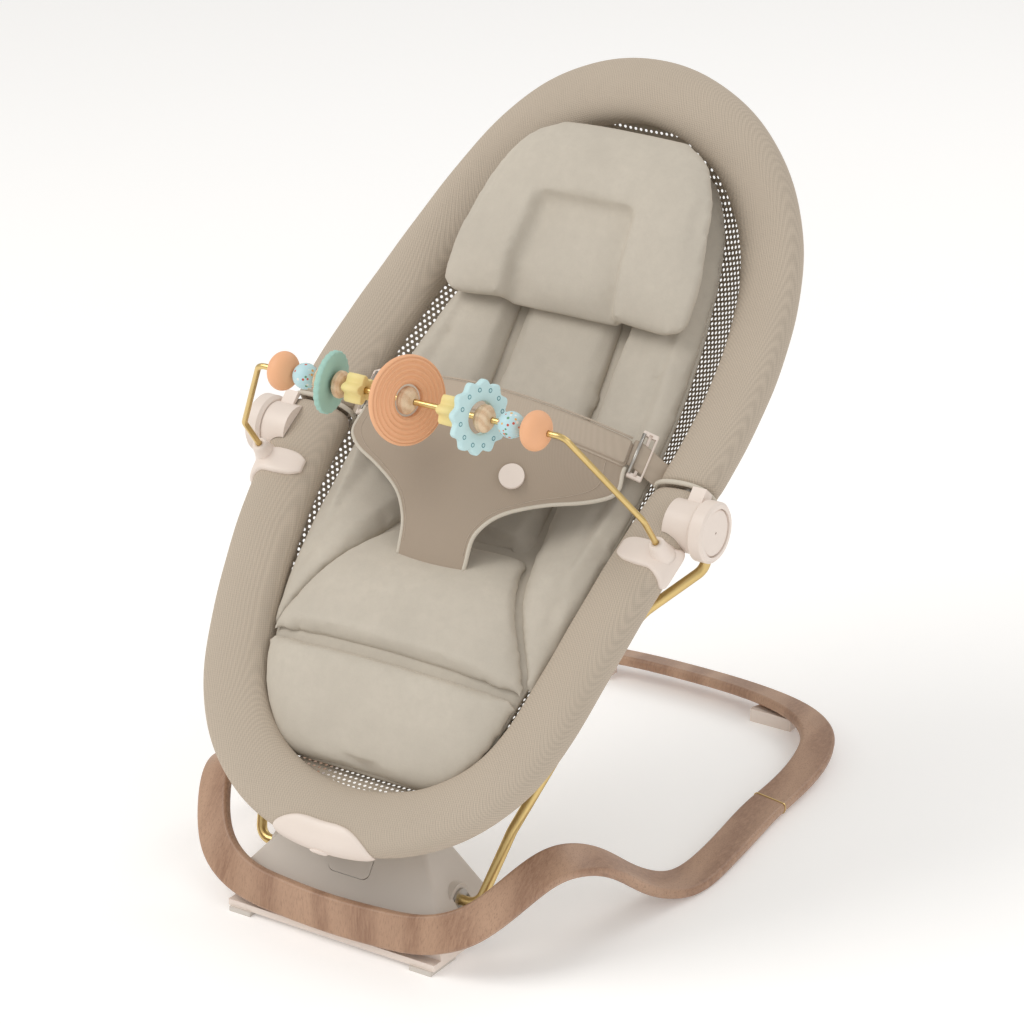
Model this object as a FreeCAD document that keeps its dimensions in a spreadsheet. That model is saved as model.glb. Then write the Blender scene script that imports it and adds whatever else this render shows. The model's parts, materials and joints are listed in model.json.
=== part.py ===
"""Baby bouncer seat: a padded oval seat on two sprung wires, which fold down over a bent-wood floor frame.

Frame: +Z up, -Y is the front (the baby's feet), +X is the baby's left hand when lying in it.
The origin is on the floor under the middle of the whole object's box.  Millimetres throughout.
The seat's own pieces are drawn in a seat plane (x across, s from foot to head, n out of the seat),
which one placement then tilts and lifts into the frame.
"""
import FreeCAD, Part
import math
import os
import Sketcher
from FreeCAD import Placement, Rotation, Vector

SIZES = {
    # floor frame
    "rail_thick": 9, "rail_round": 3, "rail_step": 14,
    "ring_wide": 1.2, "ring_proud": 0.5,
    "foot_plate_deep": 46, "foot_plate_wide": 196, "foot_plate_high": 20, "tongue_high": 5.4,
    "foot_high": 4, "foot_wide": 20, "foot_deep": 34, "foot_spacing": 172,
    "pad_high": 1.5, "pad_radius": 9,
    "rear_foot_high": 8, "rear_foot_wide": 40, "rear_foot_deep": 22, "rear_foot_spacing": 190,
    # housing on the front bar
    "house_bottom": 24, "house_top": 76, "house_low_wide": 206, "house_high_wide": 120,
    "house_front_y": -248.5, "house_back_y": -168, "house_top_front_y": -214, "house_top_back_y": -182,
    "house_wall": 3, "house_round": 5,
    "button_wide": 38, "button_high": 26, "button_thick": 6, "button_corner": 6, "button_gap": 0.4,
    "button_up": 42,
    # folding shaft and sprung wires
    "pivot_y": -205, "pivot_z": 40,
    "shaft_radius": 9, "shaft_long": 176, "bush_radius": 13, "bush_long": 12, "fit_gap": 0.05,
    "wire_radius": 4.2, "wire_leg": 40,
    # seat plane and hubs
    "seat_angle": 46.3, "seat_y": -269, "seat_z": 90,
    "hub_s": 320, "hub_n": -4,
    "hub_face_x": 201, "hub_radius": 24, "hub_thick": 12, "hub_round": 2.5,
    "hub_button_radius": 18.5, "hub_button_thick": 2.5, "hub_travel": 2,
    "hub_pin_radius": 6, "hub_house_radius": 20, "hub_lip": 2, "hub_recess": 3.6, "hub_pin_reach": 4, "hub_core": 1,
    # padded rim
    "tube_radius": 7, "band_wide": 23, "band_thick": 16, "band_tilt": 24,
    "collar_wide": 4, "collar_proud": 1.2, "clip_round": 5, "socket_radius": 6.5, "badge_proud": 3,
    # soft goods
    "sling_thick": 2, "panel_thick": 3.5, "strap_wide": 26, "strap_thick": 2.4,
    "buckle_wide": 40, "buckle_deep": 13, "buckle_thick": 4, "buckle_bar": 1.6,
    "snap_radius": 10, "snap_high": 3,
    # toy bar
    "toy_y": -144, "toy_z": 413, "toy_half": 140, "toy_wire_radius": 2.4, "bore_radius": 2.45,
    "end_bead_long": 10.5, "end_bead_radius": 15.5, "speckled_radius": 10.3,
    "wood_bead_long": 5, "wood_bead_radius": 11,
    "disc_radius": 35, "disc_hole": 12.5, "disc_thick": 7,
    "leaf_radius": 25, "leaf_hole": 5, "leaf_thick": 5,
    "flower_radius": 29, "flower_hole": 12.8, "flower_thick": 6,
    "star_radius": 12, "star_thick": 16,
}

doc = FreeCAD.newDocument("bouncer_seat")
sheet = doc.addObject("Spreadsheet::Sheet", "Sizes")
for row, (alias, value) in enumerate(SIZES.items(), 1):
    sheet.set(f"A{row}", alias)
    sheet.set(f"B{row}", str(value))
    sheet.setAlias(f"B{row}", alias)
doc.recompute()

nodes = {}


def size(alias):
    return float(sheet.get(alias))


def node(obj, name):
    """Names a finished sub-part, so that it is written to its own file."""
    obj.Label = name
    nodes[name] = obj
    return obj


def bind(obj, **expressions):
    """Binds properties of obj to the sheet, such as Radius="hub_radius"."""
    for prop, expression in expressions.items():
        words = expression.replace("(", "( ").replace(")", " )").split()
        bound = " ".join("Sizes." + w if w in SIZES else w for w in words)
        obj.setExpression(prop, bound)
    return obj


def feature(name, shape, placement=None):
    """A sub-part whose shape Part's functions make."""
    obj = doc.addObject("Part::Feature", name)
    obj.Shape = shape
    if placement is not None:
        obj.Placement = placement
    return node(obj, name)


ALONG_X = Rotation(Vector(0, 1, 0), 90)
FLAT = Rotation()


def primitive(kind, name, place, turn=FLAT, **expressions):
    obj = doc.addObject("Part::" + kind, name)
    bind(obj, **expressions)
    obj.Placement = Placement(Vector(*place), turn)
    return obj


def boolean(kind, name, base, tool):
    obj = doc.addObject("Part::" + kind, name)
    obj.Base = base
    obj.Tool = tool
    return obj


# ---------------------------------------------------------------- curves and lofts
def mirrored(point):
    return Vector(-point.x, point.y, point.z)


def rounded_section(middle, across, through, half_wide, half_thick, corner):
    """A rounded rectangle about middle, in the plane of the two unit vectors."""
    a, b = half_wide - corner, half_thick - corner
    diagonal = corner * math.sqrt(0.5)

    def at(u, v):
        return middle + across * u + through * v

    edges = []
    for su, sv, turned in ((1, 1, False), (-1, 1, True), (-1, -1, False), (1, -1, True)):
        start = at(su * half_wide, sv * b)
        knee = at(su * (a + diagonal), sv * (b + diagonal))
        end = at(su * a, sv * half_thick)
        if turned:
            start, end = end, start
        edges.append(Part.Arc(start, knee, end).toShape())
    joined = []
    for here, there in zip(edges, edges[1:] + edges[:1]):
        joined.append(here)
        joined.append(Part.LineSegment(here.Vertexes[-1].Point, there.Vertexes[0].Point).toShape())
    return Part.Wire(joined)


def oval_section(middle, across, through, half_wide, half_thick):
    """An ellipse about middle, as one closed curve that starts on the across axis."""
    count = 12
    points = []
    for k in range(count):
        turn = 2 * math.pi * k / count
        points.append(middle + across * (half_wide * math.cos(turn)) + through * (half_thick * math.sin(turn)))
    curve = Part.BSplineCurve()
    curve.interpolate(points, PeriodicFlag=True)
    return Part.Wire([curve.toShape()])


def smooth_line(points):
    curve = Part.BSplineCurve()
    curve.interpolate(points)
    return curve


def unit(vector):
    return Vector(vector).normalize()


def directions(points):
    """The travel direction at each point of a run."""
    last = len(points) - 1
    return [unit(points[min(k + 1, last)] - points[max(k - 1, 0)]) for k in range(last + 1)]


# ---------------------------------------------------------------- floor frame
# Right half of the wooden ribbon, from the middle of the front bar to the middle of the rear bar.
# Each station has the lower or outer edge of the ribbon's show face, then its upper or inner edge.
FRONT_STATIONS = [
    ((50, -262, 12), (46, -259, 43)),
    ((90, -261, 18), (82, -252, 46)),
    ((126, -251, 33), (113, -236, 58)),
    ((152, -227, 56), (134, -211, 79)),
    ((171, -194, 76), (151, -177, 93)),
    ((184, -158, 73), (163, -143, 84)),
    ((190, -112, 45), (169, -100, 54)),
    ((194, -72, 19), (169, -62, 28)),
    ((201, -40, 10), (171, -33, 15)),
    ((202, 8, 10), (172, 11, 13)),
    ((196, 66, 10.5), (166, 67, 14)),
    ((191, 120, 12), (162, 120, 15.5)),
]
FRONT_MIDDLE = ((0, -262, 10), (0, -262, 42))
REAR_STATIONS = [
    ((85, 299, 18), (77, 271, 24)),
    ((135, 280, 19), (122, 253, 24)),
    ((165, 252, 19), (145, 229, 23)),
    ((182, 215, 17), (156, 200, 21)),
    ((189, 172, 14), (161, 165, 18)),
    ((191, 121.2, 12), (162, 121.2, 15.5)),
]
REAR_MIDDLE = ((0, 307, 17), (0, 277, 24))


def both_sides(half, middle):
    """The stations of a whole rail, from its left end to its right end."""
    right = [(Vector(*low), Vector(*high)) for low, high in half]
    left = [(mirrored(low), mirrored(high)) for low, high in reversed(right)]
    return left + [(Vector(*middle[0]), Vector(*middle[1]))] + right


def evenly(stations, spacing):
    """The same two edges as smooth curves, cut into evenly spaced stations."""
    runs = [0.0]
    middles = [(low + high) * 0.5 for low, high in stations]
    for here, there in zip(middles, middles[1:]):
        runs.append(runs[-1] + (there - here).Length)
    edges = []
    for side in (0, 1):
        curve = Part.BSplineCurve()
        curve.interpolate(Points=[station[side] for station in stations], Parameters=runs)
        edges.append(curve)
    count = round(runs[-1] / spacing)
    places = [runs[-1] * k / count for k in range(count + 1)]
    return [(edges[0].value(place), edges[1].value(place)) for place in places]


def rail_section(low, high, travel, extra=0.0):
    """The ribbon's section at one station: low and high are the edges of its show face."""
    half_thick = size("rail_thick") / 2
    across = unit((high - low) - travel * (high - low).dot(travel))
    inward = unit(across.cross(travel))
    half_wide = (high - low).dot(across) / 2 + extra
    centre = (low + high) * 0.5 + inward * half_thick
    return rounded_section(centre, across, inward, half_wide, half_thick + extra, size("rail_round"))


def ribbon(stations):
    """A rail: its show face twists from upright at the front to flat along the sides.
    Both ends are square to Y, where the joint rings sit."""
    stations = evenly(stations, size("rail_step"))
    travels = directions([(low + high) * 0.5 for low, high in stations])
    for end in (0, -1):
        travels[end] = unit(Vector(0, travels[end].y, 0))
    sections = [rail_section(low, high, travel) for (low, high), travel in zip(stations, travels)]
    return Part.makeLoft(sections, True, False)


def joint_ring(low, high):
    """The thin metal band where the front and rear rails meet."""
    wire = rail_section(Vector(*low), Vector(*high), Vector(0, 1, 0), size("ring_proud"))
    return Part.Face(wire).extrude(Vector(0, size("ring_wide"), 0))


front_rail = feature("front_rail", ribbon(both_sides(FRONT_STATIONS, FRONT_MIDDLE)))
rear_rail = feature("rear_rail", ribbon(both_sides(REAR_STATIONS, REAR_MIDDLE)[::-1]))
ring_right = joint_ring(*FRONT_STATIONS[-1])
feature("joint_ring_right", ring_right)
feature("joint_ring_left", ring_right.mirror(Vector(0, 0, 0), Vector(1, 0, 0)))


def under_rail(kind, name, place, rail, **expressions):
    """A foot or plate whose top is shaped by the rail that stands on it."""
    block = primitive(kind, name + "_block", place, **expressions)
    cut = boolean("Cut", name, block, rail)
    return node(cut, name)


# The foot plate: a thin tongue under the bar and a block behind it that carries the housing.
plate_x = -size("foot_plate_wide") / 2
tongue = primitive("Box", "foot_plate_tongue", (plate_x, -257, size("foot_high")),
                   Length="foot_plate_wide", Width="foot_plate_deep", Height="tongue_high")
block = primitive("Box", "foot_plate_block", (plate_x, -248, size("foot_high")),
                  Length="foot_plate_wide", Width="foot_plate_deep - 9", Height="foot_plate_high")
node(boolean("Fuse", "front_foot_plate", tongue, block), "front_foot_plate")
for side, sign in (("right", 1), ("left", -1)):
    foot_x = sign * size("foot_spacing") / 2 - size("foot_wide") / 2
    foot = primitive("Box", "front_foot_" + side, (foot_x, -259, 0),
                     Length="foot_wide", Width="foot_deep", Height="foot_high")
    node(foot, "front_foot_" + side)
    under_rail("Cylinder", "corner_pad_" + side, (sign * 187, -28, 0), front_rail,
               Radius="pad_radius", Height="pad_high + 4")
    rear_x = sign * size("rear_foot_spacing") / 2 - size("rear_foot_wide") / 2
    under_rail("Box", "rear_foot_" + side, (rear_x, 264, 0), rear_rail,
               Length="rear_foot_wide", Width="rear_foot_deep", Height="rear_foot_high + 4")


# ---------------------------------------------------------------- housing, shaft and fold button
UPRIGHT = Rotation(Vector(1, 0, 0), 90)


def house_wedge(name, inset):
    """The housing's outer or inner form: wide at the bar, narrower and set back at the top."""
    wedge = doc.addObject("Part::Wedge", name)
    bind(wedge,
         Ymin=f"house_bottom - {inset}", Ymax=f"house_top - {inset}",
         Xmin=f"{inset} - house_low_wide / 2", Xmax=f"house_low_wide / 2 - {inset}",
         X2min=f"{inset} - house_high_wide / 2", X2max=f"house_high_wide / 2 - {inset}",
         Zmin=f"{inset} - house_back_y", Zmax=f"0 - house_front_y - {inset}",
         Z2min=f"{inset} - house_top_back_y", Z2max=f"0 - house_top_front_y - {inset}")
    wedge.Placement = Placement(Vector(), UPRIGHT)
    return wedge


outer_house = house_wedge("housing_outer", 0)
inner_house = house_wedge("housing_inner", "house_wall")
doc.recompute()
round_house = doc.addObject("Part::Fillet", "housing_round")
round_house.Base = outer_house
low_z = size("house_bottom")
round_house.Edges = [
    (k, size("house_round"), size("house_round"))
    for k, edge in enumerate(outer_house.Shape.Edges, 1)
    if max(v.Point.z for v in edge.Vertexes) > low_z + 1
]
shaft_place = (-size("shaft_long") / 2, size("pivot_y"), size("pivot_z"))
shaft_hole = primitive("Cylinder", "shaft_hole", (-150, size("pivot_y"), size("pivot_z")), ALONG_X,
                       Radius="shaft_radius + 0.5", Height="300")
hollow_house = boolean("Cut", "housing_hollow", round_house, inner_house)
bored_house = boolean("Cut", "housing_bored", hollow_house, shaft_hole)

# The front slope of the housing, which the fold button sits in.
slope = unit(Vector(0, size("house_top_front_y") - size("house_front_y"), size("house_top") - low_z))
slope_out = unit(Vector(0, -slope.z, slope.y))
slope_turn = Rotation(Vector(1, 0, 0), slope, slope_out, "XYZ")
button_at = Vector(0, size("house_front_y"), low_z) + slope * size("button_up")


def rounded_block(name, wide, high, thick, corner, place, grow="0"):
    """A PartDesign pad of a rectangle on the slope, its upright edges rounded."""
    body = doc.addObject("PartDesign::Body", name)
    plane = [f for f in body.Origin.OriginFeatures if f.Role == "XY_Plane"][0]
    sketch = body.newObject("Sketcher::SketchObject", name + "_outline")
    sketch.AttachmentSupport = [(plane, "")]
    sketch.MapMode = "FlatFace"
    corners = [Vector(-1, -1, 0), Vector(1, -1, 0), Vector(1, 1, 0), Vector(-1, 1, 0)]
    for here, there in zip(corners, corners[1:] + corners[:1]):
        sketch.addGeometry(Part.LineSegment(here * 10, there * 10), False)
    for k in range(4):
        sketch.addConstraint(Sketcher.Constraint("Coincident", k, 2, (k + 1) % 4, 1))
    for k, kind in enumerate(("Horizontal", "Vertical", "Horizontal", "Vertical")):
        sketch.addConstraint(Sketcher.Constraint(kind, k))
    sketch.addConstraint(Sketcher.Constraint("Symmetric", 0, 1, 2, 1, -1, 1))
    across = sketch.addConstraint(Sketcher.Constraint("DistanceX", 0, 1, 0, 2, 20))
    upward = sketch.addConstraint(Sketcher.Constraint("DistanceY", 1, 1, 1, 2, 20))
    bind(sketch, **{f"Constraints[{across}]": f"{wide} + {grow}", f"Constraints[{upward}]": f"{high} + {grow}"})
    pad = body.newObject("PartDesign::Pad", name + "_pad")
    pad.Profile = sketch
    bind(pad, Length=thick)
    doc.recompute()
    upright = [f"Edge{k}" for k, edge in enumerate(pad.Shape.Edges, 1)
               if abs(edge.Vertexes[0].Point.z - edge.Vertexes[-1].Point.z) > 1]
    fillet = body.newObject("PartDesign::Fillet", name + "_corners")
    fillet.Base = (pad, upright)
    bind(fillet, Radius=corner)
    body.Placement = place
    return body


button_place = Placement(button_at - slope_out * (size("button_thick") - 0.6), slope_turn)
button = rounded_block("fold_button", "button_wide", "button_high", "button_thick", "button_corner", button_place)
node(button, "fold_button")
opening_place = Placement(button_at - slope_out * (size("button_thick") + 2), slope_turn)
opening = rounded_block("button_opening", "button_wide", "button_high", "button_thick + 6", "button_corner",
                        opening_place, "2 * button_gap")
node(boolean("Cut", "housing_shell", bored_house, opening), "housing_shell")

for side, sign in (("right", 1), ("left", -1)):
    bush_x = sign * (size("shaft_long") / 2 - 14) - (size("bush_long") if sign < 0 else 0)
    bush = primitive("Cylinder", "bush_ring_" + side, (bush_x, size("pivot_y"), size("pivot_z")), ALONG_X,
                     Radius="bush_radius", Height="bush_long")
    hole = primitive("Cylinder", "bush_hole_" + side, (bush_x, size("pivot_y"), size("pivot_z")), ALONG_X,
                     Radius="shaft_radius + fit_gap", Height="bush_long")
    node(boolean("Cut", "shaft_bush_" + side, bush, hole), "shaft_bush_" + side)

shaft_rod = primitive("Cylinder", "shaft_rod", shaft_place, ALONG_X, Radius="shaft_radius", Height="shaft_long")
shaft_bore = primitive("Cylinder", "shaft_bore", shaft_place, ALONG_X,
                       Radius="wire_radius + fit_gap", Height="shaft_long")
node(boolean("Cut", "fold_shaft", shaft_rod, shaft_bore), "fold_shaft")


# ---------------------------------------------------------------- seat plane
SEAT = Placement(Vector(0, size("seat_y"), size("seat_z")), Rotation(Vector(1, 0, 0), size("seat_angle")))


def bent_rod(points, bends, radius):
    """A round rod along straight runs, with an arc of the given radius at each inner corner."""
    edges = []
    start = points[0]
    for before, corner, after, bend in zip(points, points[1:], points[2:], bends):
        come, go = unit(corner - before), unit(after - corner)
        turn = come.getAngle(go)
        reach = bend * math.tan(turn / 2)
        first, last = corner - come * reach, corner + go * reach
        middle = corner + unit(go - come) * (bend / math.cos(turn / 2) - bend)
        edges.append(Part.LineSegment(start, first).toShape())
        edges.append(Part.Arc(first, middle, last).toShape())
        start = last
    edges.append(Part.LineSegment(start, points[-1]).toShape())
    path = Part.Wire(edges)
    ring = Part.Wire([Part.Circle(points[0], unit(points[1] - points[0]), radius).toShape()])
    return path.makePipeShell([ring], True, False, 0)


def in_frame(x, s, n):
    """A point of the seat plane in the object's frame."""
    return SEAT.multVec(Vector(x, s, n))


WIRE_BENDS = [12, 30, 40, 14]
wire_points = [
    Vector(size("shaft_long") / 2 - 26, size("pivot_y"), size("pivot_z")),
    Vector(104, size("pivot_y"), size("pivot_z")),
    Vector(117, -178, 96),
    Vector(170, -81, 254),
    in_frame(size("hub_face_x") + 4.2, 299, -27),
    in_frame(size("hub_face_x") + 4.2, 310, -14),
]
wire_right = bent_rod(wire_points, WIRE_BENDS, size("wire_radius"))
feature("wire_right", wire_right)
feature("wire_left", wire_right.mirror(Vector(0, 0, 0), Vector(1, 0, 0)))


# ---------------------------------------------------------------- padded rim
# Centre line of the rim in the seat plane: half width, distance from the foot, height.
RIM_POINTS = [
    (0, 22, -8), (90, 48, -7), (131, 93, -5), (152, 158, 0), (168, 262, 0), (175, 350, -16),
    (174, 433, -34), (165, 503, -45), (146, 573, -46), (88, 652, -26), (0, 680, -14),
]
SIDE_POINTS = RIM_POINTS[1:-1]
rim_line = Part.BSplineCurve()
rim_line.interpolate(
    [Vector(*p) for p in RIM_POINTS] + [mirrored(Vector(*p)) for p in SIDE_POINTS[::-1]],
    PeriodicFlag=True,
)
RIM_MIDDLE = Vector(0, 350, -16)
COLLAR_S = 348


def rim_parameter(s, side):
    """The curve parameter of the rim's centre line at distance s from the foot, on one side."""
    return rim_line.parameter(Vector(side * 172, s, -16))


def rim_sections(start, end, count, half_wide, half_thick):
    """Oval sections along the rim, their inner edges tilted down towards the sling."""
    tilt = math.radians(size("band_tilt"))
    sections = []
    first, last = rim_line.FirstParameter, rim_line.LastParameter
    for k in range(count + 1):
        u = start + (end - start) * k / count
        u = first + (u - first) % (last - first)
        centre = rim_line.value(u)
        travel = Vector(*rim_line.tangent(u)[0])
        inward = unit(Vector(0, 0, 1).cross(travel))
        if inward.dot(RIM_MIDDLE - centre) < 0:
            inward = -inward
        raised = unit(travel.cross(inward))
        if raised.z < 0:
            raised = -raised
        across = inward * math.cos(tilt) - raised * math.sin(tilt)
        through = inward * math.sin(tilt) + raised * math.cos(tilt)
        sections.append(oval_section(centre, across, through, half_wide, half_thick))
    return sections


def rim_part(start, end, count, half_wide, half_thick):
    return Part.makeLoft(rim_sections(start, end, count, half_wide, half_thick), True, False)


span = rim_line.LastParameter - rim_line.FirstParameter
head_start, head_end = rim_parameter(COLLAR_S, 1), rim_parameter(COLLAR_S, -1)
foot_start, foot_end = head_end, head_start + span
band_wide, band_thick, tube = size("band_wide"), size("band_thick"), size("tube_radius")
feature("rim_tube_lower", rim_part(foot_start, foot_end, 18, tube, tube), SEAT)
feature("rim_tube_upper", rim_part(head_start, head_end, 18, tube, tube), SEAT)
lower_band = rim_part(foot_start, foot_end, 18, band_wide, band_thick)
upper_band = rim_part(head_start, head_end, 18, band_wide, band_thick)
feature("rim_cover_lower", lower_band, SEAT)
feature("rim_cover_upper", upper_band, SEAT)


def rim_sleeve(start, end, count, proud):
    """A shell round a stretch of rim, standing proud of the cover."""
    outer = rim_part(start, end, count, band_wide + proud, band_thick + proud)
    return outer.cut(rim_part(start, end, count, band_wide, band_thick))


def slab(x, s, n, wide, long, high):
    """A box in the seat plane about its centre."""
    return Part.makeBox(wide, long, high, Vector(x - wide / 2, s - long / 2, n - high / 2))


def oval_prism(x, s, n, half_wide, half_long, high, turn):
    """An elliptical prism along n, turned about the x axis."""
    ellipse = Part.Ellipse(Vector(0, 0, 0), max(half_wide, half_long), min(half_wide, half_long))
    prism = Part.Face(Part.Wire([ellipse.toShape()])).extrude(Vector(0, 0, high))
    prism.translate(Vector(0, 0, -high / 2))
    if half_long > half_wide:
        prism.rotate(Vector(), Vector(0, 0, 1), 90)
    prism.rotate(Vector(), Vector(1, 0, 0), turn)
    prism.translate(Vector(x, s, n))
    return prism


def biggest(shape):
    """The largest solid of a shape, without boolean crumbs."""
    return max(shape.Solids, key=lambda solid: solid.Volume)


# Collar rings, clips and badge plate all grip the rim.
CLIP_S = 289
SOCKET_X = 186
SOCKET_LINE = unit(Vector(0, 8, 50))


def socket_point(height):
    """A point on the right socket's axis, at that height over the seat plane."""
    return Vector(SOCKET_X, CLIP_S, 10) + SOCKET_LINE * ((height - 10) / SOCKET_LINE.z)


collars = {}
hub_houses = {}
for side, sign in (("right", 1), ("left", -1)):
    u_collar = rim_parameter(COLLAR_S, sign)
    reach = 0.012 * span
    collar = rim_sleeve(u_collar - reach, u_collar + reach, 4, size("collar_proud"))
    slice_s = slab(sign * 175, COLLAR_S, -10, 90, size("collar_wide"), 90)
    collars[side] = biggest(collar.common(slice_s))
    feature("collar_ring_" + side, collars[side], SEAT)
    hub_centre = Vector(sign * 178, size("hub_s"), size("hub_n"))
    outward = Vector(sign, 0, 0)
    house = Part.makeCylinder(size("hub_house_radius"), size("hub_face_x") - 0.4 - 178, hub_centre, outward)
    neck = slab(sign * 192, size("hub_s") + 18, 0, 12, 22, 12)
    bore = Part.makeCylinder(size("hub_pin_radius") + size("fit_gap"), 60, hub_centre, outward)
    house = house.fuse(neck).cut(bore).cut(lower_band).cut(upper_band)
    hub_houses[side] = biggest(biggest(house).cut(collars[side]))
    feature("hub_housing_" + side, hub_houses[side], SEAT)
    u_clip = rim_parameter(CLIP_S, sign)
    near_rim = rim_part(u_clip - 3 * reach, u_clip + 3 * reach, 6, band_wide + 0.2, band_thick + 0.2)
    saddle = slab(sign * 181, CLIP_S - 6, 10, 40, 22, 26)
    saddle = saddle.makeFillet(size("clip_round"), saddle.Edges)
    foot, mouth = socket_point(2), socket_point(30)
    if sign < 0:
        foot, mouth = mirrored(foot), mirrored(mouth)
    axis = unit(mouth - foot)
    socket = Part.makeCylinder(size("socket_radius"), (mouth - foot).Length, foot, axis)
    bore = Part.makeCylinder(size("bore_radius"), 60, foot + axis * 10, axis)
    grip = biggest(saddle.fuse(socket).cut(near_rim))
    feature("toy_clip_" + side, biggest(grip.cut(bore)), SEAT)
badge_reach = 0.09 * span
foot_u = rim_line.parameter(Vector(0, 22, -8)) + span
badge_sleeve = rim_sleeve(foot_u - badge_reach, foot_u + badge_reach, 10, size("badge_proud"))
badge_window = oval_prism(0, 0, 6, 40, 15, 80, 50)
feature("badge_plate", biggest(badge_sleeve.common(badge_window)), SEAT)


# ---------------------------------------------------------------- mesh sling and inlay pads
# Sling: distance from the foot, half width, height of its edge and of its middle.
SLING_STATIONS = [
    (50, 55, -22, -30), (82, 98, -20, -46), (130, 120, -18, -66), (200, 134, -14, -88),
    (270, 144, -14, -104), (350, 150, -29, -110), (430, 149, -46, -110), (510, 137, -57, -108),
    (580, 112, -58, -97), (625, 82, -50, -78), (652, 44, -40, -54),
]


def sling_profile(half_wide, edge, deep, s, drop):
    """The hanging curve across the sling, lowered by drop."""
    fractions = (-1, -0.8, -0.45, 0, 0.45, 0.8, 1)
    return [
        Vector(half_wide * f, s, edge - drop - (edge - deep) * (1 - abs(f) ** 2.4))
        for f in fractions
    ]


def sling_section(station, top, bottom):
    """A closed outline between two lowered copies of the hanging curve, or up to a flat top."""
    s, half_wide, edge, deep = station
    under = smooth_line(sling_profile(half_wide, edge, deep, s, bottom)).toShape()
    if top is None:
        left = Vector(-half_wide, s, 90)
        right = Vector(half_wide, s, 90)
        over = Part.LineSegment(right, left).toShape()
    else:
        over_points = sling_profile(half_wide, edge, deep, s, top)[::-1]
        over = smooth_line(over_points).toShape()
        left, right = over_points[-1], over_points[0]
    ends = under.Vertexes[0].Point, under.Vertexes[-1].Point
    walls = [Part.LineSegment(ends[1], right).toShape(), Part.LineSegment(left, ends[0]).toShape()]
    return Part.Wire([under, walls[0], over, walls[1]])


sling = Part.makeLoft([sling_section(st, 0, size("sling_thick")) for st in SLING_STATIONS], True, False)
feature("mesh_sling", sling, SEAT)
cradle = Part.makeLoft([sling_section(st, None, -0.6) for st in SLING_STATIONS], True, False)


def pad(stations):
    """A stuffed pad lofted along the seat: centre x, s, half width, bottom and top height."""
    sections = []
    for x, s, half_wide, low, high in stations:
        corner = min((high - low) / 2, half_wide) * 0.7
        middle = Vector(x, s, (low + high) / 2)
        sections.append(rounded_section(middle, Vector(1, 0, 0), Vector(0, 0, 1), half_wide, (high - low) / 2, corner))
    return Part.makeLoft(sections, True, False)


PADS = {
    "inlay_leg": [(0, 66, 66, -46, -22), (0, 84, 92, -60, -14), (0, 115, 112, -70, 4), (0, 146, 121, -78, 12)],
    "inlay_seat": [(0, 148, 121, -80, 12), (0, 190, 118, -96, 2), (0, 240, 108, -108, -18), (0, 300, 94, -112, -52)],
    "inlay_back": [(0, 303, 92, -112, -62), (0, 380, 92, -112, -62), (0, 470, 90, -110, -58),
                   (0, 560, 78, -104, -56), (0, 622, 56, -84, -46)],
}
WING = [(110, 200, 16, -50, -16), (118, 270, 22, -66, -14), (122, 360, 24, -78, -24), (120, 440, 24, -82, -36),
        (112, 520, 20, -84, -50)]
PILLOW = [(0, 474, 104, -56, -12), (0, 500, 112, -56, 2), (0, 560, 107, -55, 14), (0, 600, 96, -54, 12),
          (0, 634, 62, -50, -6)]
wings = {}
for side, sign in (("right", 1), ("left", -1)):
    wing = pad([(sign * x, *rest) for x, *rest in WING])
    wings[side] = biggest(wing.common(cradle))
    feature("inlay_wing_" + side, wings[side], SEAT)


def beside(shape, *others):
    """What is left of a soft piece beside its neighbours."""
    for other in others:
        shape = biggest(shape.cut(other))
    return shape


cushions = {}
for name, stations in PADS.items():
    cushions[name] = beside(pad(stations).common(cradle), *wings.values())
    feature(name, cushions[name], SEAT)
feature("head_pillow", beside(pad(PILLOW), cushions["inlay_back"], *wings.values()), SEAT)


# ---------------------------------------------------------------- belly panel, straps and buckles
# Panel: distance from the foot, half width, height of its middle and of its edges.
PANEL_STATIONS = [
    (212, 31, 6, 4), (240, 31, 16, 13), (266, 35, 26, 22), (286, 52, 32, 22), (302, 80, 37, 17),
    (314, 106, 41, 9), (324, 120, 43, 3), (350, 122, 46, 1), (376, 121, 46, 1),
]


def arch(s, half_wide, middle, edge, thick):
    """A thin arched section across the seat."""
    fractions = (-1, -0.5, 0, 0.5, 1)
    under = [Vector(half_wide * f, s, middle - (middle - edge) * f * f) for f in fractions]
    over = [point + Vector(0, 0, thick) for point in under[::-1]]
    runs = [smooth_line(under).toShape(), smooth_line(over).toShape()]
    sides = [
        Part.LineSegment(under[-1], over[0]).toShape(),
        Part.LineSegment(over[-1], under[0]).toShape(),
    ]
    return Part.Wire([runs[0], sides[0], runs[1], sides[1]])


panel = Part.makeLoft([arch(*station, size("panel_thick")) for station in PANEL_STATIONS], True, False)
feature("belly_panel", panel, SEAT)
snap = primitive("Cylinder", "snap_button", (0, 0, 0), Radius="snap_radius", Height="snap_high")
snap.Placement = SEAT.multiply(Placement(Vector(52, 312, 35.8), Rotation(Vector(0, 1, 0), 18)))
node(snap, "snap_button")

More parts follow.
